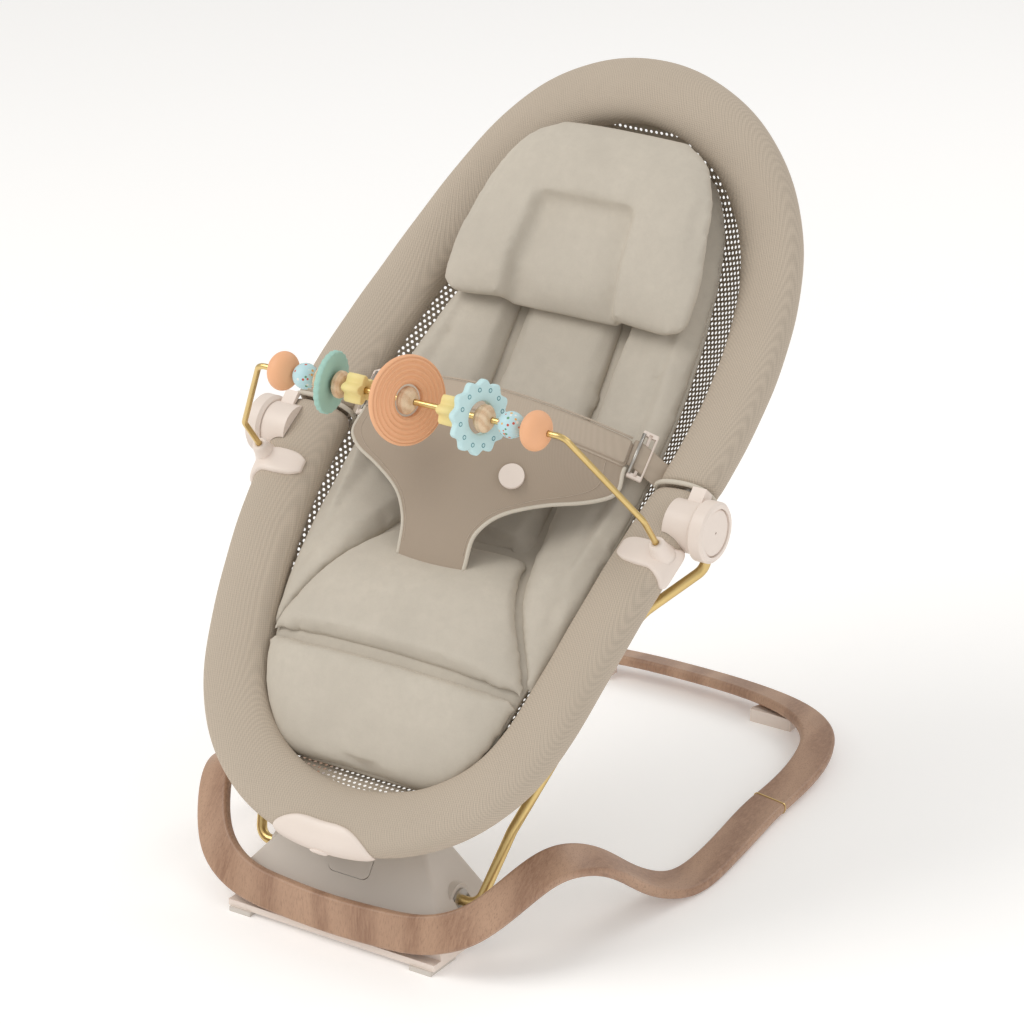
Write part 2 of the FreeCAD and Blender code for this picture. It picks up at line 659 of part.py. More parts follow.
BUCKLE_X, BUCKLE_S, BUCKLE_N = 129, 366, -4
STRAP_TILT = 38
for side, sign in (("right", 1), ("left", -1)):
    tilt = Rotation(Vector(0, 1, 0), sign * STRAP_TILT)
    buckle_place = SEAT.multiply(Placement(Vector(sign * BUCKLE_X, BUCKLE_S, BUCKLE_N), tilt))
    frame_block = Part.makeBox(size("buckle_deep"), size("buckle_wide"), size("buckle_thick"))
    frame_block.translate(Vector(-size("buckle_deep") / 2, -size("buckle_wide") / 2, -size("buckle_thick") / 2))
    frame_block = frame_block.makeFillet(1.2, frame_block.Edges)
    slot_long = size("buckle_wide") - 8
    for slot_x in (-3, 3):
        slot = Part.makeBox(3.6, slot_long, 10, Vector(slot_x - 1.8, -slot_long / 2, -5))
        frame_block = frame_block.cut(slot)
    bar_hole = Part.makeCylinder(size("buckle_bar"), size("buckle_wide") - 4,
                                 Vector(0, 2 - size("buckle_wide") / 2, 1.4), Vector(0, 1, 0))
    feature("strap_buckle_" + side, frame_block.cut(bar_hole), buckle_place)
    strap = Part.makeBox(26, size("strap_wide"), size("strap_thick"))
    strap.translate(Vector(sign * 21 - 13, -size("strap_wide") / 2, -4.6))
    feature("side_strap_" + side, strap, buckle_place)


# ---------------------------------------------------------------- hubs
def turned(name, profile, place):
    """A PartDesign revolution about X.  profile: (x, radius) corners, each an expression pair."""
    body = doc.addObject("PartDesign::Body", name)
    plane = [f for f in body.Origin.OriginFeatures if f.Role == "XY_Plane"][0]
    sketch = body.newObject("Sketcher::SketchObject", name + "_half_section")
    sketch.AttachmentSupport = [(plane, "")]
    sketch.MapMode = "FlatFace"
    guess = [Vector(k % 3, 5 + k, 0) for k in range(len(profile))]
    for here, there in zip(guess, guess[1:] + guess[:1]):
        sketch.addGeometry(Part.LineSegment(here, there), False)
    count = len(profile)
    for k in range(count):
        sketch.addConstraint(Sketcher.Constraint("Coincident", k, 2, (k + 1) % count, 1))
    for k, (x, radius) in enumerate(profile):
        along = sketch.addConstraint(Sketcher.Constraint("DistanceX", -1, 1, k, 1, 1.0))
        outward = sketch.addConstraint(Sketcher.Constraint("DistanceY", -1, 1, k, 1, 5.0))
        bind(sketch, **{f"Constraints[{along}]": x, f"Constraints[{outward}]": radius})
    turn = body.newObject("PartDesign::Revolution", name + "_turn")
    turn.Profile = sketch
    turn.ReferenceAxis = (sketch, ["H_Axis"])
    turn.Angle = 360
    body.Placement = place
    doc.recompute()
    return body


def hub_place(side_sign, x):
    """Puts a turned piece on the hub axis at x, facing away from the seat."""
    facing = Rotation() if side_sign > 0 else Rotation(Vector(0, 0, 1), 180)
    return SEAT.multiply(Placement(Vector(side_sign * x, size("hub_s"), size("hub_n")), facing))


# The bracket carries a spigot, which runs in the seat's hub housing.
HUB_BRACKET = [
    ("0", "hub_core"), ("0", "hub_pin_radius"), ("hub_pin_reach", "hub_pin_radius"),
    ("hub_pin_reach", "hub_radius - hub_round"), ("hub_pin_reach + hub_round", "hub_radius"),
    ("hub_pin_reach + hub_thick", "hub_radius"), ("hub_pin_reach + hub_thick + hub_lip", "hub_radius - hub_lip"),
    ("hub_pin_reach + hub_thick + hub_lip", "hub_button_radius + button_gap"),
    ("hub_pin_reach + hub_thick - hub_recess", "hub_button_radius + button_gap"),
    ("hub_pin_reach + hub_thick - hub_recess", "hub_core"),
]
HUB_BUTTON = [
    ("0", "hub_core"), ("0", "hub_button_radius"), ("hub_button_thick - 1", "hub_button_radius"),
    ("hub_button_thick", "hub_button_radius - 1"), ("hub_button_thick", "hub_core"),
]
for side, sign in (("right", 1), ("left", -1)):
    spigot_x = size("hub_face_x") - size("hub_pin_reach")
    node(turned("hub_bracket_" + side, HUB_BRACKET, hub_place(sign, spigot_x)), "hub_bracket_" + side)
    button_x = size("hub_face_x") + size("hub_thick") - size("hub_recess") + size("hub_travel") + 0.2
    node(turned("hub_button_" + side, HUB_BUTTON, hub_place(sign, button_x)), "hub_button_" + side)


# ---------------------------------------------------------------- toy bar
TOY_BENDS = [10, 8]
toy_right = [
    Vector(0, size("toy_y"), size("toy_z")),
    Vector(size("toy_half"), size("toy_y"), size("toy_z")),
    SEAT.multVec(socket_point(56)),
    SEAT.multVec(socket_point(14)),
]
half_bar = bent_rod(toy_right, TOY_BENDS, size("toy_wire_radius"))
toy_bar = half_bar.fuse(half_bar.mirror(Vector(0, 0, 0), Vector(1, 0, 0))).removeSplitter()
feature("toy_bar_wire", toy_bar)


def toy_place(x, lean=0.0):
    """A place on the bar.  lean tips a loose ring on the bar, face up and to the front."""
    tip = Rotation(Vector(0, 0.45, 0.89), lean)
    return Placement(Vector(x, size("toy_y"), size("toy_z")), tip)


def bead(name, x, half_long, radius):
    """A turned bead on the bar."""
    ball = primitive("Ellipsoid", name + "_ball", (0, 0, 0), Radius1=half_long, Radius2=radius)
    ball.Angle1, ball.Angle2 = -90, 90
    hole = primitive("Cylinder", name + "_hole", (0, 0, -40), Radius="bore_radius", Height="80")
    cut = boolean("Cut", name, ball, hole)
    cut.Placement = Placement(Vector(x, size("toy_y"), size("toy_z")), ALONG_X)
    node(cut, name)


BEADS = {
    "end_bead_left": (-116.3, "end_bead_long", "end_bead_radius"),
    "end_bead_right": (116, "end_bead_long", "end_bead_radius"),
    "speckled_bead_left": (-95, "speckled_radius", "speckled_radius"),
    "speckled_bead_right": (94, "speckled_radius", "speckled_radius"),
    "wood_bead_left": (-79.2, "wood_bead_long", "wood_bead_radius"),
    "wood_bead_inner": (-62, "wood_bead_long", "wood_bead_radius"),
    "wood_bead_centre": (0, "wood_bead_long + 2", "wood_bead_radius"),
    "wood_bead_right": (70, "wood_bead_long + 2", "wood_bead_radius"),
}
for name, (x, half_long, radius) in BEADS.items():
    bead(name, x, half_long, radius)

teether = turned("teether_disc", [
    ("0 - disc_thick / 2", "disc_hole"), ("0 - disc_thick / 2", "disc_radius - 1.5"),
    ("1.5 - disc_thick / 2", "disc_radius"), ("disc_thick / 2 - 1.5", "disc_radius"),
    ("disc_thick / 2", "disc_radius - 1.5"), ("disc_thick / 2", "disc_hole")], toy_place(0, -22))
node(teether, "teether_disc")
leaf_ring = turned("grooved_ring", [
    ("0 - leaf_thick / 2", "leaf_hole"), ("0 - leaf_thick / 2", "leaf_radius - 2"),
    ("0", "leaf_radius"), ("leaf_thick / 2", "leaf_radius - 2"), ("leaf_thick / 2", "leaf_hole")],
    toy_place(-71, 8))
node(leaf_ring, "grooved_ring")


def wavy_face(radius, depth, waves, hole):
    """A flat flower or star outline in the YZ plane, with a round hole."""
    count = waves * 8
    points = []
    for k in range(count):
        turn = 2 * math.pi * k / count
        reach = radius - depth * (0.5 - 0.5 * math.cos(waves * turn))
        points.append(Vector(0, reach * math.cos(turn), reach * math.sin(turn)))
    edge = Part.BSplineCurve()
    edge.interpolate(points, PeriodicFlag=True)
    outline = Part.Face(Part.Wire([edge.toShape()]))
    return outline.cut(Part.Face(Part.Wire([Part.Circle(Vector(), Vector(1, 0, 0), hole).toShape()])))


def wavy_block(radius, depth, waves, hole, thick):
    block = wavy_face(radius, depth, waves, hole).extrude(Vector(thick, 0, 0))
    block.translate(Vector(-thick / 2, 0, 0))
    return block


flower = wavy_block(size("flower_radius"), 3.5, 12, size("flower_hole"), size("flower_thick"))
for k in range(12):
    turn = 2 * math.pi * (k + 0.5) / 12
    spot = Vector(-20, 0.74 * size("flower_radius") * math.cos(turn), 0.74 * size("flower_radius") * math.sin(turn))
    flower = flower.cut(Part.makeCylinder(1.4, 40, spot, Vector(1, 0, 0)))
feature("flower_disc", flower, toy_place(65, -14))
for name, x in (("star_left", -46), ("star_right", 41)):
    star = wavy_block(size("star_radius"), 4, 5, size("bore_radius"), size("star_thick"))
    feature(name, star, toy_place(x))


# ---------------------------------------------------------------- origin
# The origin goes to the floor under the middle of the whole object's box.
doc.recompute()
boxes = [obj.Shape.BoundBox for obj in nodes.values()]
middle_y = (min(box.YMin for box in boxes) + max(box.YMax for box in boxes)) / 2
recentre = Placement(Vector(0, -round(middle_y, 1), 0), Rotation())
for obj in nodes.values():
    obj.Placement = recentre.multiply(obj.Placement)
print("moved in y by", recentre.Base.y)


# ---------------------------------------------------------------- write
doc.recompute()
for obj in doc.Objects:
    if {"Invalid", "Error"} & set(obj.State):
        raise RuntimeError(f"{obj.Label} failed: {obj.State}")
os.makedirs("parts", exist_ok=True)
for name, obj in nodes.items():
    shape = obj.Shape
    if shape.isNull() or not shape.isValid():
        raise RuntimeError(f"{name} has no valid shape")
    shape.exportStep(f"parts/{name}.step")
    print(f"{name:24s} {shape.Volume / 1000:9.2f} cm3  solids {len(shape.Solids)}")
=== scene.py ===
"""A baby bouncer seat: bent-wood floor frame, gold sprung wires, padded oval seat and toy bar."""
import json
import math

import bmesh
import bpy
import numpy as np
from mathutils import Matrix, Vector


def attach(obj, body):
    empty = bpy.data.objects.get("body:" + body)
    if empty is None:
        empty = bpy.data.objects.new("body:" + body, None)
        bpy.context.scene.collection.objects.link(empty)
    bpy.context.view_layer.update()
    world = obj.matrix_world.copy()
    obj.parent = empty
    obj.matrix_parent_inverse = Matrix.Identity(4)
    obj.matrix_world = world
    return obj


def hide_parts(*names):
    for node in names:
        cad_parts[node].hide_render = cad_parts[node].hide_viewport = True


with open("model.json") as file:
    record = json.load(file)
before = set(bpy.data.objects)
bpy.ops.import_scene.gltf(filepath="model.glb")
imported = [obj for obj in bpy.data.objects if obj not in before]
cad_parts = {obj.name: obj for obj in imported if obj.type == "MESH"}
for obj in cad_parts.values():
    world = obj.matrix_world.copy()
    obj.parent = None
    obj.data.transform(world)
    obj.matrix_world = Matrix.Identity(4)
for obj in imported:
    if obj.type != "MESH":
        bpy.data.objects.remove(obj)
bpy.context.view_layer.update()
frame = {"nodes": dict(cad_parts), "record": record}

MM = 0.001

# ---------------------------------------------------------------- places
# Seat plane: x across, s up along the seat from its foot, n out of the seat, all in millimetres.
SEAT_ANGLE = math.radians(46.3)
HUB_S, HUB_N = 320, -4
ALONG = Vector((0, math.cos(SEAT_ANGLE), math.sin(SEAT_ANGLE)))
OUT = Vector((0, -math.sin(SEAT_ANGLE), math.cos(SEAT_ANGLE)))
recline = [joint for joint in frame["record"]["behaviour"]["joints"] if joint["name"] == "recline"][0]
HUB = Vector(recline["pos_m"])
FOOT = HUB - ALONG * HUB_S * MM - OUT * HUB_N * MM


def at(x, s, n):
    """A point of the seat plane in the row frame, in metres."""
    return FOOT + Vector((x * MM, 0, 0)) + ALONG * (s * MM) + OUT * (n * MM)


def read(table, s):
    """Smooth reading of a table of (s, value) rows."""
    rows = np.array(table, dtype=float)
    if s <= rows[0, 0]:
        return float(rows[0, 1])
    if s >= rows[-1, 0]:
        return float(rows[-1, 1])
    slopes = np.gradient(rows[:, 1], rows[:, 0])
    k = int(np.searchsorted(rows[:, 0], s, side="right")) - 1
    k = min(k, len(rows) - 2)
    step = rows[k + 1, 0] - rows[k, 0]
    t = (s - rows[k, 0]) / step
    start, end = rows[k, 1], rows[k + 1, 1]
    value = (2 * t**3 - 3 * t**2 + 1) * start + (t**3 - 2 * t**2 + t) * step * slopes[k]
    value += (-2 * t**3 + 3 * t**2) * end + (t**3 - t**2) * step * slopes[k + 1]
    return float(value)


# ---------------------------------------------------------------- meshes
def new_object(name, vertices, faces, smooth=True):
    mesh = bpy.data.meshes.new(name)
    mesh.from_pydata([tuple(v) for v in vertices], [], faces)
    mesh.validate()
    obj = bpy.data.objects.new(name, mesh)
    bpy.context.collection.objects.link(obj)
    if smooth:
        mesh.polygons.foreach_set("use_smooth", [True] * len(mesh.polygons))
    return obj


def outward_faces(obj):
    """Makes the faces of a closed mesh point outwards."""
    work = bmesh.new()
    work.from_mesh(obj.data)
    bmesh.ops.recalc_face_normals(work, faces=work.faces)
    work.to_mesh(obj.data)
    work.free()


def subdivided(obj, levels=1):
    step = obj.modifiers.new("Subdivision", "SUBSURF")
    step.levels = step.render_levels = levels
    return obj


def swept(name, rings, closed=False, smooth=True):
    """A skin over rings of points that all have the same number of points."""
    count = len(rings[0])
    vertices = [point for ring in rings for point in ring]
    faces = []
    pairs = list(zip(range(len(rings)), range(1, len(rings))))
    if closed:
        pairs.append((len(rings) - 1, 0))
    for here, there in pairs:
        for k in range(count):
            following = (k + 1) % count
            near, far = here * count, there * count
            faces.append((near + k, near + following, far + following, far + k))
    if not closed:
        faces.append(tuple(range(count))[::-1])
        faces.append(tuple((len(rings) - 1) * count + k for k in range(count)))
    obj = new_object(name, vertices, faces, smooth)
    outward_faces(obj)
    return obj


def tube(name, points, radius, sides=10, closed=False, flat=1.0, normal=None):
    """A round or flattened tube along points."""
    rings = []
    count = len(points)
    last_side = Vector(normal) if normal else None
    for k, point in enumerate(points):
        before = points[k - 1] if (k or closed) else point
        after = points[(k + 1) % count] if (k < count - 1 or closed) else point
        travel = (after - before).normalized()
        guess = last_side if last_side else Vector((0.3, 0.2, 0.9))
        side = (guess - travel * guess.dot(travel)).normalized()
        last_side = Vector(normal) if normal else side
        other = travel.cross(side)
        ring = []
        for j in range(sides):
            turn = 2 * math.pi * j / sides
            ring.append(point + side * (radius * flat * math.cos(turn)) + other * (radius * math.sin(turn)))
        rings.append(ring)
    return swept(name, rings, closed)


def smooth_path(points, steps=8):
    """A Catmull-Rom line through points."""
    ends = [points[0] * 2 - points[1]] + list(points) + [points[-1] * 2 - points[-2]]
    path = []
    for k in range(1, len(ends) - 2):
        a, b, c, d = ends[k - 1], ends[k], ends[k + 1], ends[k + 2]
        for j in range(steps):
            t = j / steps
            path.append(0.5 * ((2 * b) + (c - a) * t + (2 * a - 5 * b + 4 * c - d) * t**2
                               + (3 * b - a - 3 * c + d) * t**3))
    path.append(ends[-2])
    return path


def turned(name, profile, centre, axis, segments=64):
    """A lathe piece: profile rows are (distance along the axis, radius) in millimetres."""
    axis = Vector(axis).normalized()
    side = axis.cross(Vector((0, 0.3, 1))).normalized()
    other = axis.cross(side)
    rings = []
    for k in range(segments):
        turn = 2 * math.pi * k / segments
        out = side * math.cos(turn) + other * math.sin(turn)
        rings.append([centre + axis * (along * MM) + out * (radius * MM) for along, radius in profile])
    return swept(name, rings, closed=True)


# ---------------------------------------------------------------- materials
def srgb(red, green, blue):
    """A display colour, 0 to 255, as linear light."""
    channels = []
    for value in (red, green, blue):
        value /= 255
        channels.append(value / 12.92 if value <= 0.04045 else ((value + 0.055) / 1.055) ** 2.4)
    return (*channels, 1.0)


class Paint:
    """A material and short ways to add nodes to it."""

    def __init__(self, name, roughness=0.6, metallic=0.0):
        self.material = bpy.data.materials.new(name)
        self.material.use_nodes = True
        self.nodes = self.material.node_tree.nodes
        self.links = self.material.node_tree.links
        self.shader = self.nodes["Principled BSDF"]
        self.shader.inputs["Roughness"].default_value = roughness
        self.shader.inputs["Metallic"].default_value = metallic
        self.place = self.nodes.new("ShaderNodeTexCoord").outputs["Object"]

    def node(self, kind, **values):
        node = self.nodes.new(kind)
        for name, value in values.items():
            node.inputs[name.replace("_", " ")].default_value = value
        return node

    def link(self, source, target):
        self.links.new(source, target)

    def scaled(self, scale, turn=(0, 0, 0), source=None):
        node = self.node("ShaderNodeMapping", Scale=scale, Rotation=turn)
        self.link(source or self.place, node.inputs["Vector"])
        return node.outputs["Vector"]

    def noise(self, scale, detail=4.0, source=None, roughness=0.55):
        node = self.node("ShaderNodeTexNoise", Scale=scale, Detail=detail, Roughness=roughness)
        self.link(source or self.place, node.inputs["Vector"])
        return node.outputs["Fac"]

    def wave(self, scale, source, distortion=0.0, direction="X", detail=0.0, profile="SIN"):
        node = self.node("ShaderNodeTexWave", Scale=scale, Distortion=distortion, Detail=detail)
        node.bands_direction = direction
        node.wave_profile = profile
        self.link(source, node.inputs["Vector"])
        return node.outputs["Fac"]

    def blend(self, factor, first, second):
        node = self.nodes.new("ShaderNodeMix")
        node.data_type = "RGBA"
        for socket, value in ((node.inputs[6], first), (node.inputs[7], second)):
            if isinstance(value, tuple):
                socket.default_value = value
            else:
                self.link(value, socket)
        self.link(factor, node.inputs[0])
        return node.outputs[2]

    def spread(self, source, low, high, start=0.0, end=1.0):
        node = self.nodes.new("ShaderNodeMapRange")
        node.inputs["From Min"].default_value = start
        node.inputs["From Max"].default_value = end
        node.inputs["To Min"].default_value = low
        node.inputs["To Max"].default_value = high
        self.link(source, node.inputs["Value"])
        return node.outputs["Result"]

    def maths(self, kind, first, second):
        node = self.nodes.new("ShaderNodeMath")
        node.operation = kind
        for socket, value in zip(node.inputs, (first, second)):
            if isinstance(value, (int, float)):
                socket.default_value = value
            else:
                self.link(value, socket)
        return node.outputs[0]

    def colour(self, source):
        self.link(source, self.shader.inputs["Base Color"])

    def roughness(self, source, low, high):
        self.link(self.spread(source, low, high), self.shader.inputs["Roughness"])

    def bump(self, height, strength, distance, under=None):
        node = self.node("ShaderNodeBump", Strength=strength, Distance=distance)
        self.link(height, node.inputs["Height"])
        if under is not None:
            self.link(under, node.inputs["Normal"])
        self.link(node.outputs["Normal"], self.shader.inputs["Normal"])
        return node.outputs["Normal"]


WAVE_RATE = 20  # a wave texture turns this many radians per unit of its scale


def shade(colour, factor):
    return (*[min(1.0, channel * factor) for channel in colour[:3]], 1.0)


def woven_fabric(name, colour, thread, relief, sheen=0.25, contrast=0.1, turn=(0.5, 0.4, 0.79)):
    """A woven or knitted cloth: two thread directions, slubs and a soft sheen."""
    paint = Paint(name, roughness=0.86)
    placed = paint.scaled((1, 1, 1), turn)
    scale = 2 * math.pi / (thread * MM) / WAVE_RATE
    warp = paint.wave(scale, placed, distortion=0.6, direction="X", detail=1.0)
    weft = paint.wave(scale, placed, distortion=0.6, direction="Y", detail=1.0)
    depth = paint.wave(scale, placed, distortion=0.6, direction="Z", detail=1.0)
    weave = paint.maths("MULTIPLY", paint.maths("ADD", paint.maths("ADD", warp, weft), depth), 0.333)
    cloud = paint.noise(9, 3)
    thread_noise = paint.noise(700, 2)
    threads = paint.spread(weave, 0, 1, 0.15, 0.85)
    tone = paint.blend(threads, shade(colour, 1 - contrast), shade(colour, 1 + contrast))
    cloudy = paint.blend(paint.spread(cloud, 0, 0.35, 0.35, 0.75), tone, shade(colour, 0.9))
    paint.colour(cloudy)
    paint.roughness(thread_noise, 0.78, 0.95)
    under = paint.bump(weave, 0.55, relief * MM)
    paint.bump(cloud, 0.15, 1.5 * MM, under)
    paint.shader.inputs["Sheen Weight"].default_value = sheen
    paint.shader.inputs["Sheen Roughness"].default_value = 0.45
    paint.shader.inputs["Sheen Tint"].default_value = shade(colour, 1.5)
    paint.shader.inputs["Specular IOR Level"].default_value = 0.25
    return paint.material


def brushed_fabric(name, colour, sheen=0.35):
    """A soft napped cloth: cloudy nap, fine fibre bump and a wide sheen."""
    paint = Paint(name, roughness=0.9)
    cloud = paint.noise(16, 6, roughness=0.65)
    nap = paint.noise(120, 5, roughness=0.7)
    fibre = paint.noise(1500, 2)
    tone = paint.blend(paint.spread(cloud, 0, 1, 0.35, 0.68), shade(colour, 0.93), shade(colour, 1.05))
    tone = paint.blend(paint.spread(nap, 0, 0.5, 0.4, 0.7), tone, shade(colour, 0.9))
    tone = paint.blend(paint.spread(fibre, 0, 0.3, 0.3, 0.8), tone, shade(colour, 1.12))
    paint.colour(tone)
    paint.roughness(nap, 0.8, 0.97)
    under = paint.bump(fibre, 0.25, 0.25 * MM)
    under = paint.bump(nap, 0.3, 0.8 * MM, under)
    paint.bump(cloud, 0.2, 3 * MM, under)
    paint.shader.inputs["Sheen Weight"].default_value = sheen
    paint.shader.inputs["Sheen Roughness"].default_value = 0.4
    paint.shader.inputs["Sheen Tint"].default_value = shade(colour, 1.6)
    paint.shader.inputs["Specular IOR Level"].default_value = 0.2
    return paint.material


def moulded(name, colour, roughness=0.42, grain=0.12, scale=900):
    """A satin moulding with a fine spark-eroded grain and faint handling marks."""
    paint = Paint(name, roughness=roughness)
    grains = paint.noise(scale, 2)
    marks = paint.noise(14, 5)
    worn = paint.spread(marks, 0, 0.6, 0.4, 0.75)
    paint.colour(paint.blend(worn, shade(colour, 1.02), shade(colour, 0.94)))
    paint.roughness(marks, roughness - 0.05, roughness + 0.1)
    paint.bump(grains, grain, 0.15 * MM)
    paint.shader.inputs["Specular IOR Level"].default_value = 0.45
    return paint.material


def metal(name, colour, roughness=0.28):
    """Satin plated wire with fine drawing lines."""
    paint = Paint(name, roughness=roughness, metallic=1.0)
    lines = paint.noise(60, 3, source=paint.scaled((9, 9, 1)))
    haze = paint.noise(25, 4)
    paint.colour(paint.blend(paint.spread(haze, 0, 0.7, 0.3, 0.8), colour, shade(colour, 0.82)))
    paint.roughness(lines, roughness - 0.08, roughness + 0.14)
    paint.bump(lines, 0.06, 0.1 * MM)
    return paint.material


def timber(name, light, dark, along, ring_scale=24.0, roughness=0.45):
    """Oiled wood: growth bands, long fibres and pores that run along the grain."""
    paint = Paint(name, roughness=roughness)
    stretched = paint.scaled(along)
    warp = paint.noise(3.0, 4, source=stretched)
    fibres = paint.noise(42, 6, source=stretched, roughness=0.7)
    pores = paint.noise(150, 3, source=stretched, roughness=0.6)
    bands = paint.wave(ring_scale / 20, stretched, distortion=7.0, direction="DIAGONAL", detail=3.0)
    tone = paint.blend(paint.spread(bands, 0, 1, 0.1, 0.9), dark, light)
    tone = paint.blend(paint.spread(fibres, 0, 0.75, 0.35, 0.7), tone, shade(light, 1.06))
    tone = paint.blend(paint.spread(pores, 0, 0.55, 0.52, 0.7), tone, shade(dark, 0.62))
    tone = paint.blend(paint.spread(warp, 0, 0.3, 0.4, 0.7), tone, shade(dark, 0.85))
    paint.colour(tone)
    paint.roughness(fibres, roughness - 0.08, roughness + 0.15)
    under = paint.bump(fibres, 0.18, 0.25 * MM)
    paint.bump(pores, 0.25, 0.2 * MM, under)
    paint.shader.inputs["Coat Weight"].default_value = 0.12
    paint.shader.inputs["Coat Roughness"].default_value = 0.35
    return paint.material


def speckled(name, base, specks):
    """Silicone with coloured flecks."""
    paint = Paint(name, roughness=0.5)
    cells = paint.node("ShaderNodeTexVoronoi", Scale=330.0, Randomness=1.0)
    paint.link(paint.place, cells.inputs["Vector"])
    near = paint.spread(cells.outputs["Distance"], 1, 0, 0.34, 0.38)
    split = paint.nodes.new("ShaderNodeSeparateColor")
    paint.link(cells.outputs["Color"], split.inputs["Color"])
    hue = paint.nodes.new("ShaderNodeValToRGB")
    hue.color_ramp.interpolation = "CONSTANT"
    ramp = hue.color_ramp.elements
    ramp[0].position, ramp[0].color = 0.0, specks[0]
    ramp[1].position, ramp[1].color = 1 / len(specks), specks[1]
    for k, colour in enumerate(specks[2:], start=2):
        ramp.new(k / len(specks)).color = colour
    paint.link(split.outputs["Red"], hue.inputs["Fac"])
    some = paint.spread(split.outputs["Green"], 0, 1, 0.44, 0.46)
    paint.colour(paint.blend(paint.maths("MULTIPLY", near, some), base, hue.outputs["Color"]))
    paint.bump(paint.noise(800, 2), 0.08, 0.1 * MM)
    return paint.material


GREIGE = srgb(186, 173, 157)
INLAY = srgb(195, 187, 174)
TAUPE = srgb(166, 151, 135)
CREAM = srgb(230, 217, 207)
finishes = {
    "walnut": timber("walnut", srgb(180, 145, 119), srgb(146, 110, 86), (11, 3.4, 1.3)),
    "gold_metal": metal("gold_metal", srgb(222, 194, 132), 0.3),
    "steel": metal("steel", srgb(190, 186, 180), 0.35),
    "cream_plastic": moulded("cream_plastic", CREAM),
    "grey_plastic": moulded("grey_plastic", srgb(206, 197, 187), 0.36),
    "rubber": moulded("rubber", srgb(205, 198, 190), 0.75, 0.3, 500),
    "rim_fabric": woven_fabric("rim_fabric", GREIGE, 1.5, 0.5, contrast=0.13),
    "mesh_fabric": woven_fabric("mesh_fabric", srgb(178, 166, 150), 0.8, 0.15),
    "inlay_fabric": brushed_fabric("inlay_fabric", INLAY),
    "panel_fabric": woven_fabric("panel_fabric", TAUPE, 0.7, 0.15, sheen=0.3, contrast=0.05),
    "panel_band": woven_fabric("panel_band", srgb(182, 168, 152), 0.9, 0.2, sheen=0.3, contrast=0.06),
    "piping": woven_fabric("piping", srgb(206, 198, 184), 0.8, 0.2, contrast=0.06),
    "terracotta": moulded("terracotta", srgb(234, 176, 134), 0.55, 0.2, 600),
    "sage": moulded("sage", srgb(160, 200, 188), 0.55, 0.2, 600),
    "sky": moulded("sky", srgb(196, 226, 228), 0.55, 0.2, 600),
    "sky_deep": moulded("sky_deep", srgb(96, 150, 158), 0.6, 0.1),
    "straw": moulded("straw", srgb(238, 219, 150), 0.5, 0.2, 600),
    "bead_wood": timber("bead_wood", srgb(232, 205, 172), srgb(208, 170, 132), (5, 40, 40), 30.0),
    "speckled": speckled("speckled", srgb(188, 220, 226), [
        srgb(196, 84, 62), srgb(226, 172, 84), srgb(96, 150, 110), srgb(232, 232, 226), srgb(214, 128, 90),
    ]),
}


def finish(obj, slot, body="seat", look=None):
    """Gives a new piece its material, its slot and its body."""
    obj.data.materials.clear()
    obj.data.materials.append(finishes[look or slot])
    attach(obj, body)
    return obj


# Every CAD piece that stays gets the finish of its slot.
for entry in frame["record"]["subparts"]:
    piece = frame["nodes"][entry["node"]]
    look = finishes[entry["material_slot"]]
    if not piece.material_slots:
        piece.data.materials.append(look)
    for place in piece.material_slots:
        place.link = "OBJECT"
        place.material = look

# ---------------------------------------------------------------- camera and light
PHOTO_AZIMUTH, PHOTO_ELEVATION = math.radians(33.3), math.radians(22.5)
CAMERA_FAR = 2.96
BODY_MIDDLE = Vector((0, HUB.y + 0.045, 0.2718))
back = Vector((
    math.sin(PHOTO_AZIMUTH) * math.cos(PHOTO_ELEVATION),
    -math.cos(PHOTO_AZIMUTH) * math.cos(PHOTO_ELEVATION),
    math.sin(PHOTO_ELEVATION),
))
camera_data = bpy.data.cameras.new("camera")
camera_data.lens = 130.1
camera_data.sensor_width = 36
camera = bpy.data.objects.new("camera", camera_data)
bpy.context.collection.objects.link(camera)
camera.location = BODY_MIDDLE + back * CAMERA_FAR
camera.rotation_euler = back.to_track_quat("Z", "Y").to_euler()
bpy.context.scene.camera = camera


def softbox(name, where, target, size, power, colour=(1, 1, 1)):
    data = bpy.data.lights.new(name, "AREA")
    data.shape = "RECTANGLE"
    data.size, data.size_y = size
    data.energy = power
    data.color = colour
    lamp = bpy.data.objects.new(name, data)
    bpy.context.collection.objects.link(lamp)
    lamp.location = where
    lamp.rotation_euler = (Vector(where) - Vector(target)).to_track_quat("Z", "Y").to_euler()


softbox("key", (-1.6, -1.6, 2.6), (0, 0, 0.3), (1.8, 1.8), 42, (1, 0.98, 0.95))
softbox("fill", (2.6, -1.2, 1.4), (0, 0, 0.3), (2.0, 2.0), 14)
softbox("rear", (0.8, 2.4, 2.4), (0, 0, 0.3), (1.6, 1.6), 16)
world = bpy.data.worlds.new("studio")
world.use_nodes = True
world.node_tree.nodes["Background"].inputs["Color"].default_value = (1, 0.99, 0.97, 1)
world.node_tree.nodes["Background"].inputs["Strength"].default_value = 0.62
bpy.context.scene.world = world
bpy.context.scene.view_settings.view_transform = "Standard"

FLOOR_HALF = 12
floor = new_object(
    "floor",
    [(x * FLOOR_HALF, y * FLOOR_HALF, 0) for x, y in ((-1, -1), (1, -1), (1, 1), (-1, 1))],
    [(0, 1, 2, 3)],
)
floor_paint = Paint("floor", roughness=0.7)
floor_paint.colour(floor_paint.blend(floor_paint.noise(2), srgb(252, 251, 250), srgb(254, 253, 252)))
floor_paint.shader.inputs["Emission Color"].default_value = (1, 1, 1, 1)
floor_paint.shader.inputs["Emission Strength"].default_value = 0.14
floor.data.materials.append(floor_paint.material)

